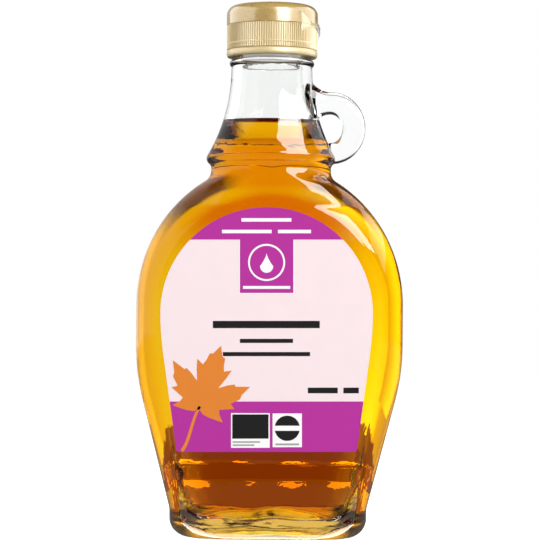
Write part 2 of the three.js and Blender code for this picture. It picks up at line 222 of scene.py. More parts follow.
def arc(centre_x, centre_z, radius_x, radius_z, start, end, steps):
    """Points along part of an ellipse, angles in radians."""
    turns = [lerp(start, end, i / steps) for i in range(steps + 1)]
    return [(centre_x + radius_x * math.cos(t), centre_z + radius_z * math.sin(t)) for t in turns]


# Meshes


def mesh_piece(name, points, faces, materials, sharp_angle=None):
    """A piece from points in millimetres, smooth except over edges sharper than an angle."""
    mesh = bpy.data.meshes.new(name)
    mesh.from_pydata([tuple(c * MM for c in p) for p in points], [], faces)
    mesh.update()
    piece = bpy.data.objects.new(name, mesh)
    bpy.context.scene.collection.objects.link(piece)
    for material in materials:
        mesh.materials.append(material)
    finish_mesh(piece, sharp_angle)
    return piece


def finish_mesh(piece, sharp_angle=None):
    """Merges doubles, turns faces outwards and sets the shading."""
    mesh = piece.data
    tidy = bmesh.new()
    tidy.from_mesh(mesh)
    bmesh.ops.remove_doubles(tidy, verts=tidy.verts, dist=1e-7)
    bmesh.ops.recalc_face_normals(tidy, faces=tidy.faces)
    tidy.to_mesh(mesh)
    tidy.free()
    mesh.polygons.foreach_set("use_smooth", [True] * len(mesh.polygons))
    if sharp_angle is not None:
        mesh.set_sharp_from_angle(angle=sharp_angle)
    mesh.update()


def settle(piece, node=None):
    """Rides the piece on the one body, and hides the imported part it stands in for."""
    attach(piece, "root")
    if node:
        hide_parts(node)


def ring_loft(rings):
    """Faces between rings of equal length; a ring of one point closes an end."""
    points = []
    starts = []
    for ring in rings:
        starts.append(len(points))
        points.extend(ring)
    faces = []
    for i in range(len(rings) - 1):
        a, b = starts[i], starts[i + 1]
        sides = max(len(rings[i]), len(rings[i + 1]))
        for j in range(sides):
            k = (j + 1) % sides
            if len(rings[i]) == 1:
                faces.append((a, b + k, b + j))
            elif len(rings[i + 1]) == 1:
                faces.append((a + j, a + k, b))
            else:
                faces.append((a + j, a + k, b + k, b + j))
    return points, faces


def turned(name, outline, material, sides=CAP_SIDES, sharp_angle=None):
    """A piece turned on the axis. An outline that doesn't end on the axis closes on itself."""
    on_axis = outline[0][0] == 0 and outline[-1][0] == 0
    rings = []
    for x, z in outline:
        if x == 0:
            rings.append([(0, 0, z)])
            continue
        turns = [2 * math.pi * j / sides for j in range(sides)]
        rings.append([(x * math.cos(t), x * math.sin(t), z) for t in turns])
    if not on_axis:
        rings.append(rings[0])
    points, faces = ring_loft(rings)
    return mesh_piece(name, points, faces, [material], sharp_angle)


# Level sections of the glass


def section_point(wide, deep, flat, turn):
    """One point of a level section: flat front and back faces joined by half-oval sides."""
    quarter = min(int(turn * 4 + 1e-9), 3)
    along = turn * 4 - quarter
    from_side = along if quarter % 2 == 0 else 1 - along
    side_share = 1 - FLAT_POINT_SHARE * flat / wide
    if from_side <= side_share:
        angle = from_side / side_share * math.pi / 2
        x = flat + (wide - flat) * math.cos(angle)
        y = deep * math.sin(angle)
    else:
        x = flat * (1 - from_side) / (1 - side_share)
        y = deep
    return (x if quarter in (0, 3) else -x, y if quarter < 2 else -y)


def panel_half_width(z):
    if z <= PANEL_SIDE_TOP:
        return PANEL_ARCH_RADIUS - PANEL_SIDE_SLOPE * (PANEL_SIDE_TOP - z)
    rise = max(0, z - PANEL_ARCH_CENTRE)
    return math.sqrt(max(0, PANEL_ARCH_RADIUS**2 - rise**2))


def flat_half_width(z):
    """Half-width of the flat part of the outside: the panel, and a narrower front up to the waist."""
    above = SHOULDER_FLAT * (1 - smoothstep(z, *SHOULDER_FLAT_FADE))
    return max(panel_half_width(z), above)


def body_half_depth(z):
    fade = smoothstep(z, WAIST_FOOT - PANEL_FADE, WAIST_FOOT)
    step = 1 - smoothstep(z, LEDGE_FOOT, LEDGE_TOP)
    panel = lerp(PANEL_HALF_DEPTH, WAIST_RADIUS, fade)
    return lerp(panel, BASE_HALF_DEPTH, step)


def side_half_width(z):
    drop = SIDE_FOOT - z
    curve_end = SIDE_CURVE_RADIUS * math.sin(SIDE_TAPER)
    if drop <= 0:
        return BODY_HALF_WIDTH
    if drop <= curve_end:
        return BODY_HALF_WIDTH - SIDE_CURVE_RADIUS + math.sqrt(SIDE_CURVE_RADIUS**2 - drop**2)
    at_curve_end = BODY_HALF_WIDTH - SIDE_CURVE_RADIUS * (1 - math.cos(SIDE_TAPER))
    return max(FOOT_HALF_WIDTH, at_curve_end - (drop - curve_end) * math.tan(SIDE_TAPER))


def inner_side_half_width(z):
    return side_half_width(z) - WALL - FOOT_WALL_EXTRA * (1 - smoothstep(z, *FOOT_WALL_FADE))


def inner_half_depth(z):
    """The inside runs straight down past the step, and draws in to the waist above."""
    panel = PANEL_HALF_DEPTH - PANEL_WALL
    return lerp(panel, INNER_WAIST_RADIUS, smoothstep(z, INNER_FADE_FOOT, INNER_WAIST_FOOT))


def shoulder(half_width, rise, waist_radius, waist_curve, steps):
    """The shoulder's ellipse up to where it touches the round hollow of a waist."""
    angle = math.pi / 3
    for _ in range(30):
        normal = Vector((math.cos(angle) / half_width, math.sin(angle) / rise)).normalized()
        reach = half_width * math.cos(angle) + waist_curve * normal.x
        angle += (reach - waist_radius - waist_curve) / half_width
    return arc(0, SHOULDER_FOOT, half_width, rise, 0, angle, steps)


def waist_hollow(shoulder_end, waist_radius, waist_foot, waist_curve):
    centre_x = waist_radius + waist_curve
    start = math.atan2(shoulder_end[1] - waist_foot, shoulder_end[0] - centre_x)
    return arc(centre_x, waist_foot, waist_curve, waist_curve, start, -math.pi, HOLLOW_STEPS)[1:]


def between(low, high, steps):
    return [lerp(low, high, i / steps) for i in range(1, steps + 1)]


def quarter_turn(steps):
    return [math.pi / 2 * i / steps for i in range(steps + 1)]


def outer_rows():
    """Outside of the glass from the middle of the underside up to the rim, as wide, deep, flat, z."""
    heel_flat = panel_half_width(HEEL_RADIUS)

    def inset(offset, z):
        flat = lerp(FOOT_RING_FLAT, heel_flat, z / HEEL_RADIUS)
        return (FOOT_HALF_WIDTH - offset, BASE_HALF_DEPTH - offset, flat, z)

    inner = inset(HEEL_RADIUS + FOOT_RING_WIDTH, 0)
    rows = [(0, 0, 0, PUSH_UP)]
    for share in between(0, 1, FLOOR_STEPS):
        rows.append((inner[0] * share, inner[1] * share, inner[2] * share, PUSH_UP * (1 - share**3)))
    for turn in quarter_turn(HEEL_STEPS):
        rows.append(inset(HEEL_RADIUS * (1 - math.sin(turn)), HEEL_RADIUS * (1 - math.cos(turn))))
    levels = between(HEEL_RADIUS, LEDGE_FOOT, 10) + between(LEDGE_FOOT, LEDGE_TOP, 22)
    levels += between(LEDGE_TOP, SIDE_FOOT, 24)
    sides = [(side_half_width(z), z) for z in levels]
    line = shoulder(BODY_HALF_WIDTH, SHOULDER_RISE, WAIST_RADIUS, WAIST_CURVE, SHOULDER_STEPS)
    sides += line + waist_hollow(line[-1], WAIST_RADIUS, WAIST_FOOT, WAIST_CURVE)
    for wide, z in sides:
        deep = body_half_depth(z)
        if z >= WAIST_FOOT:
            deep = min(deep, wide)
        rows.append((wide, deep, min(flat_half_width(z), wide), z))
    upper = [(WAIST_RADIUS, WAIST_TOP)]
    upper += arc(RING_X, RING_Z, RING_CURVE, RING_CURVE, -math.pi / 3, NECK_FLARE, 14)
    neck_x = NECK_RADIUS + NECK_CURVE
    neck_foot = NECK_FLARE - math.pi
    upper += arc(neck_x, NECK_TOP, NECK_CURVE, NECK_CURVE, neck_foot, -math.pi, NECK_STEPS)[1:]
    bead_x = BEAD_RADIUS - BEAD_CURVE
    upper += arc(bead_x, BEAD_HEIGHT, BEAD_CURVE, BEAD_HALF_HEIGHT, -BEAD_TURN, BEAD_TURN, 12)
    upper += [(FINISH_RADIUS, FINISH_FOOT)]
    rim_z = RIM_HEIGHT - RIM_CURVE
    upper += arc(FINISH_RADIUS - RIM_CURVE, rim_z, RIM_CURVE, RIM_CURVE, 0, math.pi / 2, 6)
    upper += arc(MOUTH_RADIUS + RIM_CURVE, rim_z, RIM_CURVE, RIM_CURVE, math.pi / 2, math.pi, 6)
    return rows + [(x, x, 0, z) for x, z in upper]


def inner_rows(grow, top=None):
    """Inside of the glass from the middle of the floor up, moved out into the wall by grow."""
    corner_top = FLOOR_EDGE + FLOOR_CURVE
    wide = inner_side_half_width(corner_top) + grow
    deep = inner_half_depth(corner_top) + grow
    flat = INNER_FLAT_SHARE * panel_half_width(corner_top)
    rows = []
    corner = []
    for turn in quarter_turn(CORNER_STEPS):
        reach = wide - FLOOR_SIDE_CURVE * (1 - math.sin(turn))
        depth = deep - FLOOR_CURVE * (1 - math.sin(turn))
        z = FLOOR_EDGE + FLOOR_CURVE * (1 - math.cos(turn)) - grow
        corner.append((reach, depth, min(flat, reach - SMALLEST_CORNER), z))
    edge = corner[0]
    rows.append((0, 0, 0, FLOOR_CENTRE - grow))
    for share in between(0, 1, FLOOR_STEPS)[:-1]:
        z = lerp(FLOOR_CENTRE, FLOOR_EDGE, share**2) - grow
        rows.append((edge[0] * share, edge[1] * share, edge[2] * share, z))
    rows += corner
    levels = between(corner_top, LEDGE_FOOT, 8) + between(LEDGE_FOOT, LEDGE_TOP, 16)
    levels += between(LEDGE_TOP, SIDE_FOOT, 22)
    sides = [(inner_side_half_width(z), z) for z in levels]
    waist = (INNER_WAIST_RADIUS, INNER_WAIST_CURVE)
    line = shoulder(BODY_HALF_WIDTH - WALL, SHOULDER_RISE - WALL, *waist, INNER_SHOULDER_STEPS)
    hollow = waist_hollow(line[-1], INNER_WAIST_RADIUS, INNER_WAIST_FOOT, INNER_WAIST_CURVE)
    for reach, z in sides + line + hollow:
        flat = INNER_FLAT_SHARE * min(panel_half_width(z), reach)
        rows.append((reach + grow, inner_half_depth(z) + grow, flat, z))
    centre_x = BORE_RADIUS + BORE_CURVE
    bore = [(INNER_WAIST_RADIUS, INNER_WAIST_TOP)]
    bore += arc(centre_x, BORE_TOP, BORE_CURVE, BORE_CURVE, BORE_FLARE - math.pi, -math.pi, BORE_STEPS)
    if top is not None:
        bore = [p for p in bore if p[1] < top - 0.1]
        drop = BORE_TOP - top
        bore.append((centre_x - math.sqrt(BORE_CURVE**2 - drop**2), top))
    rows += [(x + grow, x + grow, 0, z) for x, z in bore]
    return rows


# Chill marks: shallow uneven furrows round the inside of the neck, as height, depth, width and phase
CHILL_MARKS = [
    (128.6, 0.26, 0.6, 0.3),
    (127.1, 0.5, 0.5, 2.1),
    (124.9, 0.5, 0.6, 4.0),
    (123.9, 0.3, 0.45, 1.7),
    (120.2, 0.4, 0.6, 5.2),
    (118.9, 0.34, 0.55, 1.2),
    (149.2, 0.1, 0.5, 0.8),
]


# Waves that add up, as size, waves in a turn and how much of the mark's phase each takes
CHILL_WANDER = [(0.3, 3, 1), (0.22, 8, -2), (0.12, 19, 5)]
CHILL_STRENGTH = 0.6
CHILL_FADE = [(0.25, 5, 3), (0.15, 13, 1)]
# Waves of the floor's edge, as size, length and shift
FLOOR_WAVES = [(0.35, 4.1, 0), (0.25, 2.3, 1)]


def chill_furrow(z, turn):
    """How far the inside of the wall stands in at a height and a turn about the axis."""

    def waves(parts, phase):
        return sum(size * math.sin(count * turn + share * phase) for size, count, share in parts)

    depth = 0
    for height, mark_depth, width, phase in CHILL_MARKS:
        off = (z - height - waves(CHILL_WANDER, phase)) / width
        depth += mark_depth * (CHILL_STRENGTH + waves(CHILL_FADE, phase)) * math.exp(-(off**2))
    return depth


def floor_ripple(x, z):
    """The uneven lower edge of the inside, in millimetres up."""
    near_floor = 1 - smoothstep(z, FLOOR_EDGE + FLOOR_CURVE, LEDGE_FOOT)
    return near_floor * sum(size * math.sin(x / length + shift) for size, length, shift in FLOOR_WAVES)


def section_rings(rows, uneven=False):
    rings = []
    for wide, deep, flat, z in rows:
        if wide == 0:
            rings.append([(0, 0, z)])
            continue
        ring = []
        for j in range(SIDES):
            x, y = section_point(wide, deep, flat, j / SIDES)
            height = z
            if uneven:
                turn = math.atan2(y, x)
                draw = 1 - chill_furrow(z, turn) / math.hypot(x, y)
                x *= draw
                y *= draw
                height += floor_ripple(x, z)
            ring.append((x, y, height))
        rings.append(ring)
    return rings


# Handle


def handle_centre(along):
    sweep = math.pi / 2 - HANDLE_END
    loop_length = sweep * HANDLE_HALF_HEIGHT
    distance = along * (HANDLE_ARM + loop_length)
    if distance < HANDLE_ARM:
        return Vector((HANDLE_X - HANDLE_ARM + distance, HANDLE_Z + HANDLE_HALF_HEIGHT))
    angle = math.pi / 2 - sweep * (distance - HANDLE_ARM) / loop_length
    return Vector((
        HANDLE_X + HANDLE_HALF_WIDTH * math.cos(angle),
        HANDLE_Z + HANDLE_HALF_HEIGHT * math.sin(angle),
    ))


def outer_radius(z):
    """Radius of the round upper part of the outside at a height."""
    if z < RING_Z:
        return RING_X
    drop = min(NECK_TOP - z, NECK_CURVE * math.sin(NECK_FLARE))
    return NECK_RADIUS + NECK_CURVE - math.sqrt(NECK_CURVE**2 - max(0, drop) ** 2)


def handle_mesh(material):
    step = 1e-3
    rings = []
    for i in range(HANDLE_STEPS + 1):
        along = i / HANDLE_STEPS
        centre = handle_centre(along)
        ahead = (handle_centre(along + step) - handle_centre(along - step)).normalized()
        reach = max(0, HANDLE_X - centre.x) / HANDLE_ARM if centre.y > HANDLE_Z else 0
        bar = HANDLE_BAR_RADIUS + HANDLE_BAR_SWELL * math.sin(math.pi * along)
        in_plane = bar + HANDLE_FLARE * reach**2
        across = bar + HANDLE_FLARE * HANDLE_FLARE_DEPTH * reach**2
        ring = []
        for j in range(HANDLE_SIDES):
            turn = 2 * math.pi * j / HANDLE_SIDES
            out = in_plane * math.cos(turn)
            x = centre.x - ahead.y * out
            z = centre.y + ahead.x * out
            y = across * math.sin(turn)
            least = outer_radius(z) - HANDLE_BURY
            if math.hypot(x, y) < least:
                x = math.sqrt(max(0, least**2 - y**2))
            ring.append((x, y, z))
        rings.append(ring)
    for end in (0, -1):
        middle = tuple(sum(c) / HANDLE_SIDES for c in zip(*rings[end]))
        rings.insert(0 if end == 0 else len(rings), [middle])
    points, faces = ring_loft(rings)
    return mesh_piece("handle_bar", points, faces, [material])


def unite(piece, other):
    """Joins another closed piece to a piece and removes the other."""
    cut = piece.modifiers.new("union", "BOOLEAN")
    cut.operation = "UNION"
    cut.solver = "MANIFOLD"
    cut.object = other
    graph = bpy.context.evaluated_depsgraph_get()
    mesh = bpy.data.meshes.new_from_object(piece.evaluated_get(graph))
    piece.modifiers.clear()
    old = piece.data
    piece.data = mesh
    mesh.name = piece.name
    bpy.data.meshes.remove(old)
    bpy.data.objects.remove(other)


# Materials


def grey(value):
    return (value, value, value, 1)


class Nodes:
    """A material's or a group's node tree, with short calls to add and link nodes."""

    def __init__(self, tree):
        self.tree = tree

    def add(self, kind, **settings):
        node = self.tree.nodes.new(kind)
        for name, value in settings.items():
            setattr(node, name, value)
        return node

    def link(self, source, target):
        self.tree.links.new(source, target)

    def set(self, node, **values):
        for name, value in values.items():
            node.inputs[name.replace("_", " ")].default_value = value

    def feed(self, sockets, values):
        """Sets each socket to a plain number or colour, or links it to another node's output."""
        for socket, value in zip(sockets, values):
            if isinstance(value, (int, float, tuple)):
                socket.default_value = value
            else:
                self.link(value, socket)

    def object_coords(self):
        return self.add("ShaderNodeTexCoord").outputs["Object"]

    def axes(self, coords):
        split = self.add("ShaderNodeSeparateXYZ")
        self.link(coords, split.inputs["Vector"])
        return [split.outputs[axis] for axis in "XYZ"]

    def millimetres(self):
        """The object's own x, y and z in millimetres."""
        return [self.math("MULTIPLY", c, 1 / MM) for c in self.axes(self.object_coords())]

    def noise(self, coords, scale, detail=2.0, roughness=0.5):
        node = self.add("ShaderNodeTexNoise")
        names = ("Vector", "Scale", "Detail", "Roughness")
        self.feed([node.inputs[name] for name in names], (coords, scale, detail, roughness))
        return node.outputs["Fac"]

    def math(self, operation, a, b=0):
        node = self.add("ShaderNodeMath", operation=operation)
        self.feed(node.inputs, (a, b))
        return node.outputs[0]

    def product(self, first, *others):
        for other in others:
            first = self.math("MULTIPLY", first, other)
        return first

    def length(self, a, b):
        """Square root of the sum of two squares."""
        return self.math("SQRT", self.math("ADD", self.product(a, a), self.product(b, b)))

    def mix(self, share, a, b):
        node = self.add("ShaderNodeMix", data_type="RGBA")
        self.feed((node.inputs[0], node.inputs[6], node.inputs[7]), (share, a, b))
        return node.outputs[2]

    def ramp(self, value, low, high, at_low=0.0, at_high=1.0):
        """A smooth step between two values."""
        node = self.add("ShaderNodeMapRange", interpolation_type="SMOOTHSTEP")
        if low > high:
            low, high, at_low, at_high = high, low, at_high, at_low
        names = ("Value", "From Min", "From Max", "To Min", "To Max")
        self.feed([node.inputs[name] for name in names], (value, low, high, at_low, at_high))
        return node.outputs["Result"]

    def bump(self, height, strength, distance):
        node = self.add("ShaderNodeBump")
        self.set(node, Strength=strength, Distance=distance)
        self.link(height, node.inputs["Height"])
        return node.outputs["Normal"]

    def place(self, group, **values):
        """A node group with its named inputs set."""
        node = self.add("ShaderNodeGroup", node_tree=group)
        self.set(node, **values)
        return node.outputs


def new_material(name):
    material = bpy.data.materials.new(name)
    material.use_nodes = True
    nodes = Nodes(material.node_tree)
    return material, nodes, material.node_tree.nodes["Principled BSDF"]


def new_group(name, wanted, given):
    """An empty shader node group with named number inputs and outputs."""
    tree = bpy.data.node_groups.new(name, "ShaderNodeTree")
    for way, names in (("INPUT", wanted), ("OUTPUT", given)):
        for socket in names:
            tree.interface.new_socket(socket, in_out=way, socket_type="NodeSocketFloat")
    nodes = Nodes(tree)
    return tree, nodes, nodes.add("NodeGroupInput").outputs, nodes.add("NodeGroupOutput").inputs


def waviness_group():
    """Long low ripples and fine pits of moulded glass, as a height."""
    tree, nodes, wanted, given = new_group(
        "moulded_waviness", ("Ripple Scale", "Fine Scale", "Fine Share"), ("Height",)
    )
    coords = nodes.object_coords()
    ripple = nodes.noise(coords, wanted["Ripple Scale"])
    fine = nodes.noise(coords, wanted["Fine Scale"])
    nodes.link(nodes.math("ADD", ripple, nodes.product(fine, wanted["Fine Share"])), given["Height"])
    return tree


def fields_group(name, fields):
    """Uneven fields over the surface, one for each name, detail and roughness, each with its scale."""
    names = [field[0] for field in fields]
    tree, nodes, wanted, given = new_group(name, [n + " Scale" for n in names], names)
    coords = nodes.object_coords()
    for field, detail, roughness in fields:
        nodes.link(nodes.noise(coords, wanted[field + " Scale"], detail, roughness), given[field])
    return tree


WAVINESS = waviness_group()
GOLD_MOTTLE = fields_group("gold_mottle", [("Flakes", 3, 0.7), ("Cloud", 3, 0.5), ("Satin", 2, 0.5)])
PAPER_GRAIN = fields_group("paper_grain", [("Tone", 4, 0.5), ("Fibres", 3, 0.6)])
GLASS_IOR = 1.52
SYRUP_IOR = 1.48
FILM_IOR = 1.45
GLASS_COLOUR = (0.985, 0.995, 0.988, 1)
GLASS_RIPPLE = 0.0004


def glass_material(name, wetted):
    """Clear glass. Where the syrup wets it, it doesn't mirror."""
    material, nodes, shader = new_material(name)
    nodes.set(shader, Base_Color=GLASS_COLOUR, Roughness=0, IOR=GLASS_IOR, Transmission_Weight=1)
    if wetted:
        nodes.set(shader, Specular_Tint=grey(0))
    waves = nodes.place(WAVINESS, Ripple_Scale=70, Fine_Scale=420, Fine_Share=0.12)
    nodes.link(nodes.bump(waves["Height"], 0.5, GLASS_RIPPLE), shader.inputs["Normal"])
    return material


SYRUP_COLOUR = (0.979, 0.877, 0, 1)
SYRUP_DENSITY = 260

# Painted shade on the syrup: darker and warmer over the label's arch, beside the neck, in a band low on
# the neck, at the waist, on the shoulders and in the foot's corners. The arch that bounds the face is a
# half oval; reach is the distance from its centre as a share of its size. Each pair is where a shade
# starts and where it is full.
FACE_ARCH_HALF_WIDTH = 39.6
FACE_ARCH_RISE = 42.2
FACE_ARCH_SHIFT = -0.5
TOP_PAINTED_SHADE = (0.78, 0.22, 0.1, 1)
TOP_SHADE_REACH = (0.955, 0.87)
TOP_SHADE_FROM = (89, 103)
NECK_SIDE_PAINTED_SHADE = (0.06, 0.011, 0.03, 1)
NECK_SIDE_SHADE_OUT = (7.5, 11)
NECK_SIDE_SHADE_FROM = (126.5, 128.5)
MARK_PAINTED_SHADE = (0.3, 0.16, 0.1, 1)
MARK_SHADE_FROM = (125.4, 126.2)
MARK_SHADE_TO = (128.4, 127.4)
WAIST_PAINTED_SHADE = (0.93, 0.5, 0.3, 1)
WAIST_SHADE_FROM = (110, 114)
WAIST_SHADE_TO = (129, 124)
SHOULDER_PAINTED_SHADE = (0.034, 0.013, 0.1, 1)
SHOULDER_SHADE_REACH = (0.972, 0.998)
SHOULDER_SHADE_FROM = (91, 105)
SHOULDER_SHADE_TO = (117, 114)
SHOULDER_SHADE_OUT = (8, 15)
CORNER_PAINTED_SHADE = (0.006, 0.005, 0.004, 1)
CORNER_SHADE_OUT = (20, 24)
CORNER_SHADE_TO = (10.5, 8.5)


def syrup_painted_shade(nodes):
    """Painted shade on the front of the syrup: over the label, at the waist, beside the neck and on
    the shoulders beyond the arch, and all round in the foot's corners."""
    x, y, z = nodes.millimetres()
    rise = nodes.math("MAXIMUM", nodes.math("SUBTRACT", z, PANEL_ARCH_CENTRE))
    across = nodes.math("DIVIDE", nodes.math("ADD", x, FACE_ARCH_SHIFT), FACE_ARCH_HALF_WIDTH)
    reach = nodes.length(across, nodes.math("DIVIDE", rise, FACE_ARCH_RISE))
    out = nodes.math("ABSOLUTE", x)
    front = nodes.ramp(y, 0.5, -0.5)
    zones = [
        (TOP_PAINTED_SHADE, (reach, TOP_SHADE_REACH), (z, TOP_SHADE_FROM)),
        (NECK_SIDE_PAINTED_SHADE, (out, NECK_SIDE_SHADE_OUT), (z, NECK_SIDE_SHADE_FROM)),
        (MARK_PAINTED_SHADE, (z, MARK_SHADE_FROM), (z, MARK_SHADE_TO)),
        (WAIST_PAINTED_SHADE, (z, WAIST_SHADE_FROM), (z, WAIST_SHADE_TO)),
        (SHOULDER_PAINTED_SHADE, (reach, SHOULDER_SHADE_REACH), (z, SHOULDER_SHADE_FROM), (z, SHOULDER_SHADE_TO),
         (out, SHOULDER_SHADE_OUT)),
    ]
    # Each zone mixes in its painted shade where all its masks meet.
    painted_shade = grey(1)
    for colour, *limits in zones:
        masks = [nodes.ramp(value, *limit) for value, limit in limits]
        painted_shade = nodes.mix(nodes.product(*masks, front), painted_shade, colour)
    # Painted shade in the foot's corners, all round.
    corners = nodes.product(nodes.ramp(out, *CORNER_SHADE_OUT), nodes.ramp(z, *CORNER_SHADE_TO))
    return nodes.mix(corners, painted_shade, CORNER_PAINTED_SHADE)


def syrup_material():
    """Amber syrup: clear, and darker with depth, with painted shade on its front and in the foot's
    corners. Only its free surface mirrors.
    """
    material, nodes, shader = new_material("amber_syrup")
    nodes.set(shader, Roughness=0, IOR=SYRUP_IOR, Transmission_Weight=1)
    nodes.link(syrup_painted_shade(nodes), shader.inputs["Base Color"])
    surface = nodes.add("ShaderNodeAttribute", attribute_name="free_surface")
    nodes.link(surface.outputs["Color"], shader.inputs["Specular Tint"])
    absorb = nodes.add("ShaderNodeVolumeAbsorption")
    nodes.set(absorb, Color=SYRUP_COLOUR, Density=SYRUP_DENSITY)
    output = material.node_tree.nodes["Material Output"]
    nodes.link(absorb.outputs["Volume"], output.inputs["Volume"])
    return material


FLAKE_COLOUR = (0.7, 0.5, 0.27, 1)
FLAKE_SHARE = 0.08


def gold_material(name, darker, lighter, roughness, skin_roughness):
    """Satin gold moulded plastic: a warm body under a clear skin, with a faint mottle."""
    material, nodes, shader = new_material(name)
    mottle = nodes.place(GOLD_MOTTLE, Flakes_Scale=2600, Cloud_Scale=90, Satin_Scale=900)
    shade = nodes.mix(mottle["Cloud"], darker, lighter)
    colour = nodes.mix(nodes.product(mottle["Flakes"], FLAKE_SHARE), shade, FLAKE_COLOUR)
    nodes.link(colour, shader.inputs["Base Color"])
    nodes.set(shader, Metallic=0.05, Coat_Weight=0.9, Coat_Roughness=skin_roughness)
    rough = nodes.product(nodes.math("ADD", mottle["Satin"], 0.5), roughness)
    nodes.link(rough, shader.inputs["Roughness"])
    nodes.link(nodes.bump(mottle["Cloud"], 0.05, 0.0001), shader.inputs["Normal"])
    return material


PLUG_LIP = (0.6, 0.3)
PLUG_GLOW_FROM = (0.5, 1)
PLUG_GLOW = 0.25
PLUG_SHADES = ((0.9, 0.9, 0.88, 1), (0.96, 0.96, 0.95, 1))
PLUG_LIP_REFLECTION_COLOUR = (0.42, 0.27, 0.13, 1)


def plug_material():
    """Milky plastic of the cap's inner plug; its golden lip is a painted reflection, its faint glow
    painted light.
    """
    material, nodes, shader = new_material("milky_plug")
    above = nodes.math("SUBTRACT", nodes.millimetres()[2], PLUG_FOOT)
    clouds = nodes.mix(nodes.noise(nodes.object_coords(), 300, 3), *PLUG_SHADES)
    # Painted reflection of the gold cap along the lower lip.
    colour = nodes.mix(nodes.ramp(above, *PLUG_LIP), clouds, PLUG_LIP_REFLECTION_COLOUR)
    nodes.link(colour, shader.inputs["Base Color"])
    # Painted light: the plug glows faintly above its lip.
    glow = nodes.mix(nodes.ramp(above, *PLUG_GLOW_FROM), grey(0), (1, 1, 0.98, 1))
    nodes.link(glow, shader.inputs["Emission Color"])
    nodes.set(shader, Roughness=0.4, Emission_Strength=PLUG_GLOW)
    return material


FILM_COLOUR = (1, 0.985, 0.94, 1)
FILM_EDGE_HIGHLIGHT = 0.45
FILM_CREASE = (0.6, 0.72)
FILM_MILK = (0.01, 0.25)


def film_material():
    """Clear shrink film, whiter along its creases, with a painted highlight along its edges."""
    material, nodes, shader = new_material("clear_film")
    nodes.set(shader, Base_Color=FILM_COLOUR, Roughness=0.06, IOR=FILM_IOR, Transmission_Weight=1)
    creases = nodes.noise(nodes.object_coords(), 900, 4, 0.6)
    # Painted highlight along the film's edges.
    border = nodes.add("ShaderNodeAttribute", attribute_name="film_edge_highlight").outputs["Fac"]
    edge_highlight_and_creases = nodes.math("MAXIMUM", border, nodes.ramp(creases, *FILM_CREASE, *FILM_MILK))
    nodes.link(nodes.math("SUBTRACT", 1, edge_highlight_and_creases), shader.inputs["Transmission Weight"])
    nodes.link(nodes.bump(creases, 0.3, 0.0002), shader.inputs["Normal"])
    return material


PAPER_SHADES = (0.97, 1.03)
PAPER_FIBRE = 0.00003


def paper_material(name, colour, roughness=0.45):
    """Coated paper or ink on it, with a faint uneven tone and fine fibres."""
    material, nodes, shader = new_material(name)
    grain = nodes.place(PAPER_GRAIN, Tone_Scale=140, Fibres_Scale=3500)
    shades = [tuple(min(1, c * shade) for c in colour) + (1,) for shade in PAPER_SHADES]
    nodes.link(nodes.mix(grain["Tone"], *shades), shader.inputs["Base Color"])
    rough = nodes.math("ADD", nodes.product(grain["Fibres"], 0.12), roughness)
    nodes.link(rough, shader.inputs["Roughness"])
    nodes.link(nodes.bump(grain["Fibres"], 0.12, PAPER_FIBRE), shader.inputs["Normal"])
    return material


CLEAR_GLASS = glass_material("clear_glass", wetted=False)
WETTED_GLASS = glass_material("wetted_glass", wetted=True)
AMBER = syrup_material()
GOLD = gold_material("satin_gold", (0.4, 0.265, 0.075, 1), (0.43, 0.29, 0.088, 1), 0.3, 0.14)
# The same gold plastic, rougher on the ribs, skirt and ring; its paler colour is painted light.
ROUGH_GOLD_PAINTED_LIGHTER = gold_material("ribbed_gold_painted_lighter", (0.55, 0.425, 0.19, 1), (0.58, 0.455, 0.215, 1), 0.5, 0.35)
FILM = film_material()
MILKY = plug_material()
PINK_PAPER = paper_material("pale_pink_paper", (0.86, 0.715, 0.735))
PURPLE_INK = paper_material("purple_ink", (0.44, 0.028, 0.31), 0.35)
WHITE_INK = paper_material("white_ink", (0.9, 0.88, 0.88))
BLACK_INK = paper_material("black_ink", (0.014, 0.014, 0.014), 0.35)
GREY_INK = paper_material("grey_ink", (0.35, 0.35, 0.35), 0.4)
LEAF_INK = paper_material("orange_ink", (0.72, 0.215, 0.027), 0.35)


# Glass flask

SYRUP_TOP_EDGE = SYRUP_LEVEL + MENISCUS_RISE


def make_glass():
    outside = section_rings(outer_rows())
    inside = section_rings(inner_rows(0), uneven=True)
    points, faces = ring_loft(outside + inside[::-1])
    flask = mesh_piece("glass_flask", points, faces, [CLEAR_GLASS, WETTED_GLASS])
    unite(flask, handle_mesh(CLEAR_GLASS))
    mark_wetted(flask)
    flask.data.polygons.foreach_set("use_smooth", [True] * len(flask.data.polygons))
    flask.data.set_sharp_from_angle(angle=math.radians(50))
    return flask


def mark_wetted(flask):
    """Gives the faces of the inside below the syrup's edge the wetted glass."""
    for face in flask.data.polygons:
        x, y, z = (c / MM for c in face.center)
        on_floor = z < FLOOR_CENTRE + 1 and face.normal.z > 0.3
        inward = face.normal.x * x + face.normal.y * y < 0 or on_floor
        inside = FLOOR_EDGE - 1 < z < SYRUP_TOP_EDGE and abs(x) < BODY_HALF_WIDTH - WALL / 2
        over_floor = abs(y) < BASE_HALF_DEPTH - WALL / 2
        round_part = z < WAIST_FOOT or math.hypot(x, y) < outer_radius(z) - WALL / 2
        face.material_index = 1 if inward and inside and over_floor and round_part else 0


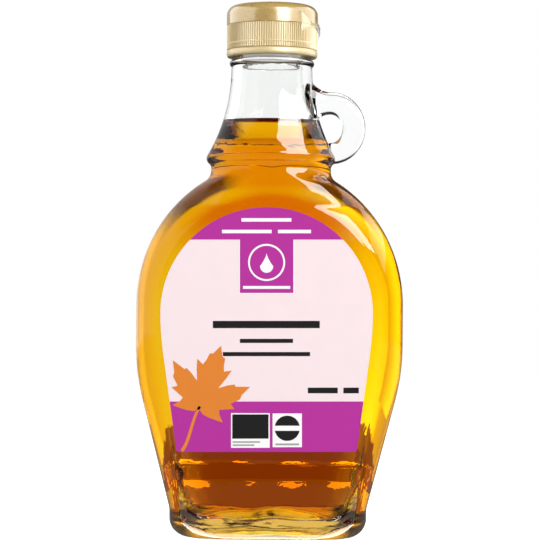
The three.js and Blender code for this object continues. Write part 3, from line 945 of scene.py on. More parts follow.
def make_syrup():
    rows = inner_rows(SYRUP_OVERLAP, top=SYRUP_TOP_EDGE)
    rings = section_rings(rows, uneven=True)
    radius = rows[-1][0]
    for i in range(1, SURFACE_STEPS):
        from_wall = radius * (i / SURFACE_STEPS) ** 2
        z = SYRUP_LEVEL + MENISCUS_RISE * math.exp(-from_wall / MENISCUS_LENGTH)
        turns = [math.atan2(p[1], p[0]) for p in rings[-1]]
        reach = radius - from_wall
        rings.append([(reach * math.cos(t), reach * math.sin(t), z) for t in turns])
    rings.append([(0, 0, SYRUP_LEVEL)])
    points, faces = ring_loft(rings)
    syrup = mesh_piece("maple_syrup", points, faces, [AMBER], math.radians(50))
    level = syrup.data.attributes.new("free_surface", "FLOAT_COLOR", "CORNER")
    for face in syrup.data.polygons:
        free = 1 if face.center.z > (SYRUP_LEVEL - 0.2) * MM and face.normal.z > 0 else 0
        for corner in face.loop_indices:
            level.data[corner].color = (free, free, free, 1)
    return syrup


settle(make_glass(), "bottle_glass")
settle(make_syrup(), "syrup")


# Cap


def rib_tree():
    """One rib, an oval bar, set round the axis a number of times."""
    tree = bpy.data.node_groups.new("ribs_round_the_cap", "GeometryNodeTree")
    tree.interface.new_socket("Geometry", in_out="OUTPUT", socket_type="NodeSocketGeometry")
    names = ("Count", "Radius", "Foot", "Height", "Width", "Depth")
    for name in names:
        kind = "NodeSocketInt" if name == "Count" else "NodeSocketFloat"
        tree.interface.new_socket(name, in_out="INPUT", socket_type=kind)
    tree.interface.new_socket("Material", in_out="INPUT", socket_type="NodeSocketMaterial")
    nodes = Nodes(tree)
    inputs = nodes.add("NodeGroupInput")
    outputs = nodes.add("NodeGroupOutput")
    wanted = inputs.outputs

    bar = nodes.add("GeometryNodeMeshCylinder", fill_type="NGON")
    bar.inputs["Vertices"].default_value = 10
    bar.inputs["Side Segments"].default_value = 1
    bar.inputs["Radius"].default_value = 1
    nodes.link(wanted["Height"], bar.inputs["Depth"])
    size = nodes.add("ShaderNodeCombineXYZ")
    nodes.link(wanted["Depth"], size.inputs["X"])
    nodes.link(nodes.math("MULTIPLY", wanted["Width"], 0.5), size.inputs["Y"])
    size.inputs["Z"].default_value = 1
    shaped = nodes.add("GeometryNodeTransform")
    nodes.link(bar.outputs["Mesh"], shaped.inputs["Geometry"])
    nodes.link(size.outputs["Vector"], shaped.inputs["Scale"])

    circle = nodes.add("GeometryNodeMeshCircle")
    nodes.link(wanted["Count"], circle.inputs["Vertices"])
    nodes.link(wanted["Radius"], circle.inputs["Radius"])
    middle = nodes.math("ADD", wanted["Foot"], nodes.math("MULTIPLY", wanted["Height"], 0.5))
    lift = nodes.add("ShaderNodeCombineXYZ")
    nodes.link(middle, lift.inputs["Z"])
    raised = nodes.add("GeometryNodeTransform")
    nodes.link(circle.outputs["Mesh"], raised.inputs["Geometry"])
    nodes.link(lift.outputs["Vector"], raised.inputs["Translation"])

    index = nodes.add("GeometryNodeInputIndex")
    full_turn = nodes.math("DIVIDE", 2 * math.pi, wanted["Count"])
    turn = nodes.add("ShaderNodeCombineXYZ")
    nodes.link(nodes.math("MULTIPLY", index.outputs["Index"], full_turn), turn.inputs["Z"])
    copies = nodes.add("GeometryNodeInstanceOnPoints")
    nodes.link(raised.outputs["Geometry"], copies.inputs["Points"])
    nodes.link(shaped.outputs["Geometry"], copies.inputs["Instance"])
    nodes.link(turn.outputs["Vector"], copies.inputs["Rotation"])
    real = nodes.add("GeometryNodeRealizeInstances")
    nodes.link(copies.outputs["Instances"], real.inputs["Geometry"])
    coloured = nodes.add("GeometryNodeSetMaterial")
    nodes.link(real.outputs["Geometry"], coloured.inputs["Geometry"])
    nodes.link(wanted["Material"], coloured.inputs["Material"])
    nodes.link(coloured.outputs["Geometry"], outputs.inputs["Geometry"])
    return tree


def grown(name, tree, values):
    """A plain mesh piece from a Geometry Nodes tree with its named inputs set."""
    piece = bpy.data.objects.new(name, bpy.data.meshes.new(name))
    bpy.context.scene.collection.objects.link(piece)
    modifier = piece.modifiers.new("grow", "NODES")
    modifier.node_group = tree
    for item in tree.interface.items_tree:
        if item.in_out == "INPUT":
            modifier[item.identifier] = values[item.name]
    graph = bpy.context.evaluated_depsgraph_get()
    mesh = bpy.data.meshes.new_from_object(piece.evaluated_get(graph))
    piece.modifiers.clear()
    piece.data = mesh
    finish_mesh(piece, math.radians(40))
    return piece


def make_cap():
    edge_z = CAP_TOP - CAP_DOME - CAP_EDGE_CURVE
    lip_x = CAP_RADIUS - CAP_LIP_CURVE
    lip_z = CAP_LIP_FOOT + CAP_LIP_CURVE
    outline = [(0, CAP_INNER_TOP), (CAP_INNER_RADIUS, CAP_INNER_TOP), (CAP_INNER_RADIUS, CAP_FOOT)]
    skirt_x = RIB_VALLEY - SKIRT_CURVE
    outline += arc(skirt_x, CAP_FOOT + SKIRT_CURVE, SKIRT_CURVE, SKIRT_CURVE, -math.pi / 2, 0, 4)
    outline += arc(RIB_VALLEY, RIB_HOOP, RIB_HOOP_OUT, RIB_HOOP_HALF, -math.pi / 2, math.pi / 2, 8)
    outline += [(RIB_VALLEY, CAP_LIP_FOOT - LIP_GAP)]
    outline += arc(lip_x, lip_z, CAP_LIP_CURVE, CAP_LIP_CURVE, -math.pi / 2, 0, 6)
    edge_x = CAP_RADIUS - CAP_EDGE_CURVE
    outline += arc(edge_x, edge_z, CAP_EDGE_CURVE, CAP_EDGE_CURVE, 0, math.pi / 2, 16)
    for share in between(0, 1, 10):
        outline.append((edge_x * (1 - share), CAP_TOP - CAP_DOME * (1 - share) ** 2))
    shell = turned("screw_cap", outline, GOLD, sharp_angle=math.radians(35))
    shell.data.materials.append(ROUGH_GOLD_PAINTED_LIGHTER)
    for face in shell.data.polygons:
        face.material_index = 1 if face.center.z < (CAP_LIP_FOOT - 1.5 * LIP_GAP) * MM else 0
    ribs = grown("cap_ribs", rib_tree(), {
        "Count": RIB_COUNT,
        "Radius": (RIB_VALLEY - RIB_BURY) * MM,
        "Foot": (CAP_FOOT + RIB_FOOT) * MM,
        "Height": (CAP_LIP_FOOT - CAP_FOOT) * MM,
        "Width": RIB_WIDTH * MM,
        "Depth": (RIB_CREST - RIB_VALLEY + RIB_BURY) * MM,
        "Material": ROUGH_GOLD_PAINTED_LIGHTER,
    })
    settle(shell, "cap")
    settle(ribs, "cap")
    plug_top = CAP_INNER_TOP + PLUG_BURY
    inner_x = PLUG_RADIUS - PLUG_WALL
    middle_x = PLUG_RADIUS - PLUG_WALL / 2
    outline = [(inner_x, plug_top), (inner_x, PLUG_FOOT + PLUG_WALL / 2), (middle_x, PLUG_FOOT)]
    outline += [(PLUG_RADIUS - 0.15, PLUG_FOOT + 0.1), (PLUG_RADIUS, PLUG_FOOT + PLUG_CURVE)]
    outline += [(PLUG_RADIUS, plug_top)]
    plug = turned("cap_plug", outline, MILKY, sharp_angle=math.radians(50))
    settle(plug, "cap")


def make_ring():
    middle = (RING_TOP + RING_FOOT) / 2
    half_height = (RING_TOP - RING_FOOT) / 2
    bulge = half_height / 2
    bevel_x = RING_INNER_RADIUS + RING_BEVEL
    outline = [(RING_INNER_RADIUS, RING_FOOT + RING_BEVEL), (bevel_x, RING_FOOT)]
    outline += arc(CAP_RADIUS - bulge, middle, bulge, half_height, -math.pi / 2, math.pi / 2, 16)
    outline += [(bevel_x, RING_TOP), (RING_INNER_RADIUS, RING_TOP - RING_BEVEL)]
    ring = turned("tear_off_ring", outline, ROUGH_GOLD_PAINTED_LIGHTER, sharp_angle=math.radians(35))
    settle(ring, "tear_ring")


def make_tab():
    """A strip of clear film pinched in the middle, wide and open at both ends."""
    draw = random.Random(7)
    front = []
    for i in range(TAB_STEPS + 1):
        along = i / TAB_STEPS
        angle = lerp(TAB_FROM, TAB_TO, along)
        if along < TAB_PINCH:
            end, spread = TAB_LEFT, 1 - along / TAB_PINCH
        else:
            end, spread = TAB_RIGHT, (along - TAB_PINCH) / (1 - TAB_PINCH)
        height = lerp(TAB_MIDDLE[0], end[0], spread)
        half = lerp(TAB_MIDDLE[1], end[1], spread**1.3)
        stand = lerp(*TAB_STAND, spread**3)
        line = []
        for j in range(TAB_ROWS + 1):
            across = 2 * j / TAB_ROWS - 1
            fold = TAB_FOLD * math.sin(9 * across + 5 * along) * (1 - 0.5 * spread)
            bow = stand * (1 - 0.5 * across * across)
            out = CAP_RADIUS + bow + fold + draw.uniform(-TAB_CRUMPLE, TAB_CRUMPLE)
            line.append((out, angle, height + half * across))
        front.append(line)
    points = []
    for inset in (0, TAB_THICKNESS):
        for line in front:
            for out, angle, z in line:
                points.append(((out - inset) * math.cos(angle), (out - inset) * math.sin(angle), z))
    width = TAB_ROWS + 1
    back = len(front) * width
    faces = []
    for i in range(TAB_STEPS):
        for j in range(TAB_ROWS):
            a = i * width + j
            faces.append((a, a + width, a + width + 1, a + 1))
            faces.append((back + a, back + a + 1, back + a + width + 1, back + a + width))
    border = list(range(width))
    border += [i * width + TAB_ROWS for i in range(1, TAB_STEPS + 1)]
    border += [TAB_STEPS * width + j for j in range(TAB_ROWS - 1, -1, -1)]
    border += [i * width for i in range(TAB_STEPS - 1, 0, -1)]
    for a, b in zip(border, border[1:] + border[:1]):
        faces.append((a, b, back + b, back + a))
    tab = mesh_piece("film_tab", points, faces, [FILM], math.radians(60))
    # The film's edges get a painted highlight through this attribute.
    edge = tab.data.attributes.new("film_edge_highlight", "FLOAT", "POINT")
    for index in border:
        edge.data[index].value = FILM_EDGE_HIGHLIGHT
        edge.data[back + index].value = FILM_EDGE_HIGHLIGHT
    settle(tab, "seal_tab")


make_cap()
make_ring()
make_tab()


# Label


def label_outline(grow=0.0, steps=48):
    """The label's outline in its own plane, as x and z."""
    half = LABEL_FOOT_HALF_WIDTH
    reach = LABEL_ARCH_RADIUS + grow
    slope = (LABEL_ARCH_RADIUS - half) / (LABEL_SIDE_TOP - LABEL_FOOT)
    half += grow
    foot = LABEL_FOOT - grow

    def bend(a, b, c, count):
        turns = [i / count for i in range(count + 1)]
        return [
            tuple((1 - t) ** 2 * p + 2 * t * (1 - t) * q + t * t * r for p, q, r in zip(a, b, c))
            for t in turns
        ]

    side = (half + slope * LABEL_CORNER, foot + LABEL_CORNER)
    right = bend((half - LABEL_CORNER, foot), (half, foot), side, 5)
    taper_top = LABEL_SIDE_TOP - LABEL_BEND
    taper_reach = reach - slope * LABEL_BEND
    right += bend((taper_reach, taper_top), (reach, LABEL_SIDE_TOP), (reach, LABEL_ARCH_CENTRE), 10)
    arch = arc(0, LABEL_ARCH_CENTRE, reach, reach, 0, math.pi / 2, steps)[1:]
    whole = right + arch
    return whole + [(-x, z) for x, z in whole[-2::-1]]


def on_panel(x, z, layer):
    """A point of the label's plane on the glass, turned and shifted as the label is stuck."""
    turn_z = (LABEL_FOOT + LABEL_ARCH_CENTRE + LABEL_ARCH_RADIUS) / 2
    dx, dz = x, z - turn_z
    x = dx * math.cos(LABEL_TURN) - dz * math.sin(LABEL_TURN) + LABEL_SHIFT
    z = dx * math.sin(LABEL_TURN) + dz * math.cos(LABEL_TURN) + turn_z
    return (x, -PANEL_HALF_DEPTH - layer, z)


def plate(name, outline, back, front, material):
    """A thin plate on the panel, from an outline of x and z."""
    count = len(outline)
    points = [on_panel(x, z, back) for x, z in outline] + [on_panel(x, z, front) for x, z in outline]
    faces = [tuple(range(count)), tuple(range(2 * count - 1, count - 1, -1))]
    for i in range(count):
        k = (i + 1) % count
        faces.append((i, count + i, count + k, k))
    return mesh_piece(name, points, faces, [material], math.radians(30))


LABEL_FRONT = LABEL_THICKNESS - LABEL_BURY


def ink(name, outline, material, layer=1):
    low = LABEL_FRONT + PRINT_STEP * (layer - 1) - PRINT_BURY
    return plate(name, outline, low, LABEL_FRONT + PRINT_STEP * layer, material)


def box(left, foot, right, top):
    return [(left, foot), (right, foot), (right, top), (left, top)]


def disc(x, z, radius, steps=64):
    return arc(x, z, radius, radius, 0, 2 * math.pi, steps)[:-1]


# Prints on the label, as heights, half-widths and boxes in its own plane

TOP_BAND_FOOT = 95.7
NOTCH_HALF_WIDTH = 8.5
NOTCH_FOOT = 78.7
NOTCH_LINE = 0.35
LOW_BAND_TOP = 44.2
EMBLEM_Z = 88.4
EMBLEM_RADIUS = 5.9
EMBLEM_LINE = 0.6
DROP_RADIUS = 2.1
DROP_TIP = 4.2
WHITE_BARS = [
    (-8, 101.4, 7.9, 102.5), (-14.2, 97.7, 1.6, 98.8), (3.6, 97.7, 14.1, 98.8), (-7.5, 80, 7.5, 80.9),
]
BLACK_BARS = [
    (-17.1, 67.5, 16.9, 69.8), (-8.5, 62.8, 8.4, 64.1), (-13.9, 58.6, 13.8, 59.9),
    (13.1, 46.8, 22.6, 48.6), (24.4, 46.8, 29.3, 48.6),
]
MARK_LEFT = (-11.3, 29.5, 1, 40.5)
MARK_RIGHT = (1.9, 29.7, 11.2, 40.4)
MARK_RIM = 0.4
MARK_STRIP = 2.9
MARK_LEFT_LINES = [(0.6, 0.6), (1.6, 0.75)]
MARK_DISC_RADIUS = 4
MARK_DISC_DROP = 4.7
LEAF_BASE = (-21.2, 42.4)
LEAF_TURN = math.radians(-19)
# Half of the leaf as degrees from its middle vein and distance from its base
LEAF_HALF = [
    (0, 20.6), (5, 17.6), (8.5, 17.4), (11, 15.2), (15, 13.6), (22, 15.4), (23.5, 12.4), (25, 8.4),
    (33, 11.2), (38, 13.2), (41, 13), (49, 17.2), (55, 13.8), (60, 13), (65, 9.8), (74, 11),
    (79, 6.2), (92, 6.6), (105, 8.8), (121, 4.4), (140, 2.4), (165, 0.9),
]
STEM_BENDS = [(-21.2, 42.6), (-23.9, 38.6), (-24.3, 31.4), (-27, 28.5)]
STEM_HALF_WIDTH = 0.5


def top_band():
    lift = math.asin((TOP_BAND_FOOT - LABEL_ARCH_CENTRE) / LABEL_ARCH_RADIUS)
    arch = arc(0, LABEL_ARCH_CENTRE, LABEL_ARCH_RADIUS, LABEL_ARCH_RADIUS, lift, math.pi - lift, 60)
    return arch + notch(0)


def notch(grow):
    half = NOTCH_HALF_WIDTH + grow
    foot = NOTCH_FOOT - grow
    return [(-half, TOP_BAND_FOOT), (-half, foot), (half, foot), (half, TOP_BAND_FOOT)]


def low_band():
    right = [p for p in label_outline() if p[0] > 0 and p[1] < LOW_BAND_TOP]
    slope = (LABEL_ARCH_RADIUS - LABEL_FOOT_HALF_WIDTH) / (LABEL_SIDE_TOP - LABEL_FOOT)
    right.append((LABEL_FOOT_HALF_WIDTH + slope * (LOW_BAND_TOP - LABEL_FOOT), LOW_BAND_TOP))
    return right + [(-x, z) for x, z in right[::-1]]


def drop_outline():
    """A plain drop: round below, drawn to a tip above."""
    low = EMBLEM_Z - 1.2
    half = []
    for share in between(0, 1, 10)[:-1]:
        half.append((DROP_RADIUS * share**1.5, low + DROP_TIP * (1 - share)))
    round_part = arc(0, low, DROP_RADIUS, DROP_RADIUS, 0, -math.pi, 24)
    return [(0, low + DROP_TIP)] + half + round_part + [(-x, z) for x, z in half[::-1]]


def leaf_outline():
    base_x, base_z = LEAF_BASE
    points = []
    for side in (1, -1):
        half = LEAF_HALF if side == 1 else LEAF_HALF[:0:-1]
        for degrees, reach in half:
            angle = math.pi / 2 + LEAF_TURN - side * math.radians(degrees)
            points.append((base_x + reach * math.cos(angle), base_z + reach * math.sin(angle)))
    return points


def stem_outline(steps=24):
    a, b, c, d = (Vector(p) for p in STEM_BENDS)
    left, right = [], []
    for i in range(steps + 1):
        t = i / steps
        middle = a * (1 - t) ** 3 + b * 3 * t * (1 - t) ** 2 + c * 3 * t * t * (1 - t) + d * t**3
        ahead = (b - a) * (1 - t) ** 2 + (c - b) * 2 * t * (1 - t) + (d - c) * t * t
        side = Vector((-ahead.y, ahead.x)).normalized() * STEM_HALF_WIDTH * lerp(0.8, 1.1, t)
        left.append(tuple(middle + side))
        right.append(tuple(middle - side))
    return left + right[::-1]


def printed(name, outline, material, layer=1):
    settle(ink(name, outline, material, layer), "front_label")


def make_label():
    sheet = plate("label_sheet", label_outline(), -LABEL_BURY, LABEL_FRONT, PINK_PAPER)
    settle(sheet, "front_label")
    printed("notch_line", notch(NOTCH_LINE), WHITE_INK)
    printed("top_band", top_band(), PURPLE_INK, 2)
    printed("low_band", low_band(), PURPLE_INK)
    printed("emblem_ring", disc(0, EMBLEM_Z, EMBLEM_RADIUS), WHITE_INK, 3)
    printed("emblem_field", disc(0, EMBLEM_Z, EMBLEM_RADIUS - EMBLEM_LINE), PURPLE_INK, 4)
    printed("emblem_drop", drop_outline(), WHITE_INK, 5)
    for i, bar in enumerate(WHITE_BARS):
        printed(f"white_bar_{i}", box(*bar), WHITE_INK, 3)
    for i, bar in enumerate(BLACK_BARS):
        printed(f"black_bar_{i}", box(*bar), BLACK_INK)
    printed("leaf", leaf_outline(), LEAF_INK, 2)
    printed("leaf_stem", stem_outline(), LEAF_INK, 2)
    left, foot, right, top = MARK_LEFT
    field = box(left + MARK_RIM, foot + MARK_STRIP, right - MARK_RIM, top - MARK_RIM)
    printed("left_mark", box(*MARK_LEFT), WHITE_INK, 2)
    printed("left_mark_field", field, BLACK_INK, 3)
    for i, (rise, share) in enumerate(MARK_LEFT_LINES):
        line = box(left + 0.5, foot + rise, lerp(left, right, share), foot + rise + 0.5)
        printed(f"left_mark_line_{i}", line, GREY_INK, 3)
    left, foot, right, top = MARK_RIGHT
    middle = (left + right) / 2
    disc_z = top - MARK_DISC_DROP
    band = box(middle - MARK_DISC_RADIUS, disc_z - 0.8, middle + MARK_DISC_RADIUS, disc_z + 0.8)
    printed("right_mark", box(*MARK_RIGHT), WHITE_INK, 2)
    printed("right_mark_disc", disc(middle, disc_z, MARK_DISC_RADIUS), BLACK_INK, 3)
    printed("right_mark_band", band, WHITE_INK, 4)
    printed("right_mark_line", box(left + 0.9, foot + 0.6, right - 0.9, foot + 1.2), GREY_INK, 3)


make_label()


# Stage

CARD_RADIANCE = 1.06
CARD_FAR_LEFT = 1.75
CARD_LEFT_FROM = (-90, -170)
CARD_DISTANCE = 200
CARD_HALF_WIDTH = 420
CARD_FOOT = 29
CARD_TOP = 310
TABLE_DROP = -300
GLOW_DISTANCE = 60
GLOW_HALF_WIDTH = 48
GLOW_FOOT = 26.5
GLOW_TOP = 104
GLOW_EDGE = 34.5
GLOW_EDGE_HALF = 0.7
GLOW_RAGGED = 7
GLOW_DROP = 6
GLOW_LEFT = (1.02, 1.2)
GLOW_RIGHT = (1.1, 2.2)
GLOW_RIGHT_FROM = (2, 16)
GLOW_SIDES_FROM = (18, 32)
TABLE_AT_SIDES = (0.5, 0.26, 0.12, 1)
TABLE_BEHIND = (0.34, 0.155, 0.07, 1)
TABLE_DEEP = (0.29, 0.1, 0.05, 1)
TABLE_LEVEL = 2
TABLE_DEEP_FROM = (9, 13)
TABLE_SIDES_FROM = (30, 60)
# Bright patches on the glow card's plane, as middle, height, half-width and half-height
LEDGE_PATCHES = [
    (-30.5, 17.6, 7, 1.7), (-9.6, 17.4, 3.2, 1.4), (9, 17.6, 4.6, 1.5), (30, 17.6, 7, 1.7),
]
LEDGE_LIGHT = (2.6, 1.35, 0.28, 1)
STEP_PATCHES = [
    (-6.2, 14.4, 1.8, 0.5), (8.6, 14.4, 5.4, 0.75), (-30.5, 13.4, 9, 1.5), (30.5, 13.4, 8.5, 1.5),
]
STEP_LIGHT = (1.5, 0.85, 0.18, 1)
WAVES_DISTANCE = 26
WAVES_HALF_WIDTH = 34
WAVES_FOOT = -6
WAVES_TOP = 8
WAVE_GOLD = (0.85, 0.52, 0.1, 1)
WAVE_DARK = (0.05, 0.025, 0.01, 1)
WAVE_ENDS = (0.07, 0.06, 0.05, 1)
WAVE_EDGES = (0.36, 0.47)
WAVE_ENDS_FROM = (21, 26)
EDGE_GLOW_DISTANCE = 32
EDGE_GLOW_BOX = (2, 46, 25, 97)
EDGE_GLOW = (1.15, 2.9)
EDGE_GLOW_FROM = (24, 7)
TABLE_RADIANCE = 0.3
TABLE_MIRRORED = 0.12
WALL_BENT = 0.9
MIRROR_LEFT = 0.45
MIRROR_RIGHT = 0.02
CEILING_RADIANCE = 0.03
CEILING_START = (0.6, 0.72)
STUDIO_DARK = 0.01
HORIZON = (-0.01, -0.03)
WHITE_FLOOR_GLOW = 0.75
FOOT_AIM = (0, -20, 2)
FLAG_AZIMUTH = math.radians(62)
FLAG_DISTANCE = 130
FLAG_HALF_WIDTH = 50
FLAG_FOOT = 60
FLAG_TOP = 146
STUDIO_HALF_ANGLE = math.radians(41)
DIFFUSE_LIGHT = 0.35


def emitter(name, radiance):
    material = bpy.data.materials.new(name)
    material.use_nodes = True
    tree = material.node_tree
    tree.nodes.clear()
    light = tree.nodes.new("ShaderNodeEmission")
    light.inputs["Color"].default_value = (1, 1, 1, 1)
    light.inputs["Strength"].default_value = radiance
    output = tree.nodes.new("ShaderNodeOutputMaterial")
    tree.links.new(light.outputs[0], output.inputs["Surface"])
    return material


def hide_from(piece, *kinds):
    for kind in kinds:
        setattr(piece, "visible_" + kind, False)


def lit_card(name, paint):
    """A card's material, its light painted by a function of the place across and up in millimetres."""
    material = emitter(name, 1)
    nodes = Nodes(material.node_tree)
    x, _, z = nodes.millimetres()
    nodes.link(paint(nodes, x, z), material.node_tree.nodes["Emission"].inputs["Color"])
    return material


def stretched_noise(nodes, stretch, scale, detail):
    mapping = nodes.add("ShaderNodeMapping")
    mapping.inputs["Scale"].default_value = stretch
    nodes.link(nodes.object_coords(), mapping.inputs["Vector"])
    return nodes.noise(mapping.outputs["Vector"], scale, detail, 0.6)


def glow_light(nodes, x, z):
    """Bright above a ragged edge, brighter low on the right, and brown below."""
    uneven = stretched_noise(nodes, (1, 1, 0.3), 260, 4)
    down = nodes.math("DIVIDE", nodes.math("SUBTRACT", GLOW_TOP - GLOW_DROP, z), GLOW_TOP - GLOW_EDGE)
    left_light = nodes.mix(down, *map(grey, GLOW_LEFT))
    right_light = nodes.mix(down, *map(grey, GLOW_RIGHT))
    bright = nodes.mix(nodes.ramp(x, *GLOW_RIGHT_FROM), left_light, right_light)
    sides = nodes.ramp(nodes.math("ABSOLUTE", x), *GLOW_SIDES_FROM)
    brown = nodes.mix(sides, TABLE_BEHIND, TABLE_AT_SIDES)
    ragged = nodes.math("ADD", z, nodes.product(uneven, GLOW_RAGGED))
    middle = GLOW_EDGE + GLOW_RAGGED / 2
    edge = nodes.ramp(ragged, middle - GLOW_EDGE_HALF, middle + GLOW_EDGE_HALF)
    return nodes.mix(edge, brown, bright)


def sweep_light(nodes, x, z):
    """White, and brighter far on the left."""
    return nodes.mix(nodes.ramp(x, *CARD_LEFT_FROM), grey(CARD_RADIANCE), grey(CARD_FAR_LEFT))


def table_light(nodes, x, z):
    """Brown, warmer at the sides."""
    off_level = nodes.math("ABSOLUTE", nodes.math("SUBTRACT", z, TABLE_LEVEL))
    behind = nodes.mix(nodes.ramp(off_level, *TABLE_DEEP_FROM), TABLE_BEHIND, TABLE_DEEP)
    sides = nodes.ramp(nodes.math("ABSOLUTE", x), *TABLE_SIDES_FROM)
    return nodes.mix(sides, behind, TABLE_AT_SIDES)


def waves_light(nodes, x, z):
    """Golden and dark waves of light on the table by the foot, dark at both ends."""
    waves = stretched_noise(nodes, (0.3, 1, 1.6), 330, 3)
    light = nodes.mix(nodes.ramp(waves, *WAVE_EDGES), WAVE_DARK, WAVE_GOLD)
    ends = nodes.ramp(nodes.math("ABSOLUTE", x), *WAVE_ENDS_FROM)
    return nodes.mix(ends, light, WAVE_ENDS)


def edge_light(nodes, x, z):
    """What the right edge of the body bends the eye to, brighter towards the middle."""
    return nodes.mix(nodes.ramp(x, *EDGE_GLOW_FROM), *map(grey, EDGE_GLOW))


def upright_card(name, y, left, foot, right, top, material):
    corners = [(left, y, foot), (right, y, foot), (right, y, top), (left, y, top)]
    return mesh_piece(name, corners, [(0, 1, 2, 3)], [material])


def patches(name, y, shapes, colour, steps=24):
    """Flat leaf-like bright shapes, pointed at both ends."""
    material = emitter(name, 1)
    material.node_tree.nodes["Emission"].inputs["Color"].default_value = colour
    points, faces = [], []
    for middle, height, half_width, half_height in shapes:
        start = len(points)
        for j in range(steps):
            turn = 2 * math.pi * j / steps
            x = middle + half_width * math.cos(turn)
            points.append((x, y, height + half_height * math.sin(turn) * abs(math.sin(turn))))
        faces.append(tuple(range(start, start + steps)))
    return mesh_piece(name, points, faces, [material])


def make_stage():
    floor_material, nodes, shader = new_material("pale_floor")
    tone = nodes.noise(nodes.object_coords(), 3, 2)
    shade = nodes.mix(tone, grey(0.86), grey(0.9))
    nodes.link(shade, shader.inputs["Base Color"])
    nodes.set(shader, Roughness=0.9, Specular_IOR_Level=0.1)
    nodes.set(shader, Emission_Color=grey(1), Emission_Strength=WHITE_FLOOR_GLOW)
    reach = 4000
    floor = mesh_piece(
        "floor", [(-reach, -reach, 0), (reach, -reach, 0), (reach, reach, 0), (-reach, reach, 0)],
        [(0, 1, 2, 3)], [floor_material],
    )
    hide_from(floor, "glossy", "transmission", "diffuse")
    half = CARD_HALF_WIDTH
    glow_box = (-GLOW_HALF_WIDTH, GLOW_FOOT, GLOW_HALF_WIDTH, GLOW_TOP)
    waves_box = (-WAVES_HALF_WIDTH, WAVES_FOOT, WAVES_HALF_WIDTH, WAVES_TOP)
    table_box = (-half, TABLE_DROP, half, CARD_FOOT)
    lit = [
        ("back_card", CARD_DISTANCE, (-half, CARD_FOOT, half, CARD_TOP), sweep_light),
        ("table_card", CARD_DISTANCE, table_box, table_light),
        ("glow_card", GLOW_DISTANCE, glow_box, glow_light),
        ("waves_card", WAVES_DISTANCE, waves_box, waves_light),
        ("edge_card", EDGE_GLOW_DISTANCE, EDGE_GLOW_BOX, edge_light),
    ]
    cards = [upright_card(name, y, *edges, lit_card(name, paint)) for name, y, edges, paint in lit]
    cards.append(patches("ledge_patches", GLOW_DISTANCE, LEDGE_PATCHES, LEDGE_LIGHT))
    cards.append(patches("step_patches", GLOW_DISTANCE, STEP_PATCHES, STEP_LIGHT))
    for card in cards:
        hide_from(card, "camera", "diffuse", "glossy", "shadow")


def softbox(name, azimuth, elevation, width, height, radiance, distance=1.0, aim=(0, 0, 90)):
    """A soft light aimed at a point of the bottle, its sizes in metres. Azimuth runs to the right of
    the camera."""
    light = bpy.data.lights.new(name, "AREA")
    light.shape = "RECTANGLE"
    light.size = width
    light.size_y = height
    light.energy = 4 * width * height * radiance
    lamp = bpy.data.objects.new(name, light)
    bpy.context.scene.collection.objects.link(lamp)
    a, e = math.radians(azimuth), math.radians(elevation)
    away = Vector((math.sin(a) * math.cos(e), -math.cos(a) * math.cos(e), math.sin(e)))
    lamp.location = away * distance + Vector(aim) * MM
    lamp.rotation_euler = away.to_track_quat("Z", "Y").to_euler()
    lamp.visible_camera = False
    return lamp


def shine_on(lamp, *names):
    """Limits a lamp to some pieces."""
    lit = bpy.data.collections.new(lamp.name + "_lit")
    for name in names:
        lit.objects.link(bpy.data.objects[name])
    lamp.light_linking.receiver_collection = lit


def make_flag():
    """A black card that keeps the right softbox out of the body's right bevel."""
    away = Vector((math.sin(FLAG_AZIMUTH), -math.cos(FLAG_AZIMUTH), 0))
    along = Vector((away.y, -away.x, 0)) * FLAG_HALF_WIDTH
    middle = away * FLAG_DISTANCE
    corners = []
    for side, z in ((-1, FLAG_FOOT), (1, FLAG_FOOT), (1, FLAG_TOP), (-1, FLAG_TOP)):
        corners.append((middle.x + side * along.x, middle.y + side * along.y, z))
    flag = mesh_piece("flag", corners, [(0, 1, 2, 3)], [emitter("black_flag", 0)])
    hide_from(flag, "camera", "diffuse", "transmission", "shadow")


def make_lights():
    gold = ("screw_cap", "cap_ribs", "tear_off_ring", "film_tab")
    clear = ("glass_flask", "maple_syrup", "cap_plug")
    mirrored = [
        (softbox("cap_left", -90, 18, 2.0, 1.2, 2), gold),
        (softbox("cap_bright", 29, 18, 0.55, 1.2, 11.5), gold),
        (softbox("cap_right", 92, 18, 1.9, 1.2, 2.4), gold),
        (softbox("right_softbox", 53, 42, 0.85, 0.66, 8), clear),
        (softbox("right_strip", 118, 28, 1.3, 0.3, 0.9), clear),
    ]
    foot_glow = softbox("foot_glow", 180, -66, 0.11, 0.05, 4, distance=0.05, aim=FOOT_AIM)
    hide_from(foot_glow, "transmission")
    for lamp, names in mirrored + [(foot_glow, ("glass_flask",))]:
        hide_from(lamp, "diffuse")
        shine_on(lamp, *names)
    right_key = softbox("right_key", 53, 22, 0.9, 1.0, 3.4)
    left_fill = softbox("left_fill", -55, 20, 0.8, 0.8, 2.5)
    for lamp in (right_key, left_fill):
        hide_from(lamp, "glossy", "transmission")


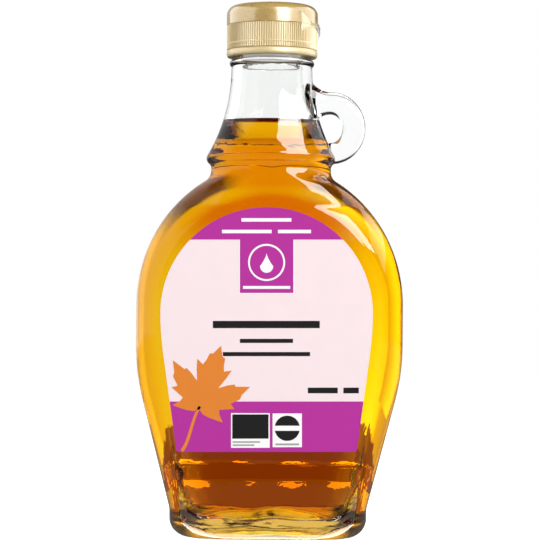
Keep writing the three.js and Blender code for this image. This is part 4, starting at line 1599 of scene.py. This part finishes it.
def make_world():
    """White to the camera. What the bottle bends shows a white sweep over a grey table under a dark
    ceiling, and what it mirrors shows a dark studio behind the camera with a pale wall on the left."""
    world = bpy.data.worlds.new("studio")
    bpy.context.scene.world = world
    world.use_nodes = True
    nodes = Nodes(world.node_tree)
    back = world.node_tree.nodes["Background"]
    path = nodes.add("ShaderNodeLightPath").outputs
    x, y, z = nodes.axes(nodes.add("ShaderNodeTexCoord").outputs["Generated"])
    forward = nodes.math("DIVIDE", y, nodes.length(x, y))
    ceiling = nodes.ramp(z, *CEILING_START)
    table = nodes.ramp(z, *HORIZON)
    bent = nodes.mix(table, grey(WALL_BENT), grey(TABLE_RADIANCE))
    bent = nodes.mix(ceiling, bent, grey(CEILING_RADIANCE))
    front_edge = -math.cos(STUDIO_HALF_ANGLE)
    front = nodes.ramp(forward, front_edge + 0.02, front_edge - 0.02)
    mirrored = nodes.mix(nodes.ramp(x, -0.05, 0.05), grey(MIRROR_LEFT), grey(MIRROR_RIGHT))
    mirrored = nodes.mix(front, mirrored, grey(STUDIO_DARK))
    mirrored = nodes.mix(table, mirrored, grey(TABLE_MIRRORED))
    mirrored = nodes.mix(ceiling, mirrored, grey(CEILING_RADIANCE))
    has_mirrored = nodes.ramp(path["Glossy Depth"], 0.4, 0.6)
    light = nodes.mix(has_mirrored, bent, mirrored)
    light = nodes.mix(path["Is Diffuse Ray"], light, grey(DIFFUSE_LIGHT))
    light = nodes.mix(path["Is Camera Ray"], light, grey(1))
    nodes.link(light, back.inputs["Color"])


def make_camera():
    camera = bpy.data.objects.new("camera", bpy.data.cameras.new("camera"))
    bpy.context.scene.collection.objects.link(camera)
    camera.data.sensor_width = SENSOR
    camera.data.lens = SENSOR * CAMERA_DISTANCE / (IMAGE_SIZE * MM_PER_PIXEL)
    camera.location = Vector((0, -CAMERA_DISTANCE, CAMERA_HEIGHT)) * MM
    aim = Vector((0, 0, AIM_HEIGHT)) * MM - camera.location
    turn = aim.to_track_quat("-Z", "Y").to_matrix().to_4x4()
    camera.rotation_euler = (turn @ Matrix.Rotation(BOTTLE_LEAN, 4, "Z")).to_euler()
    bpy.context.scene.camera = camera


make_stage()
make_flag()
make_lights()
make_world()
make_camera()

scene = bpy.context.scene
scene.view_settings.view_transform = "Standard"
scene.cycles.use_denoising = True
scene.cycles.max_bounces = 24
scene.cycles.transmission_bounces = 24
scene.cycles.transparent_max_bounces = 16
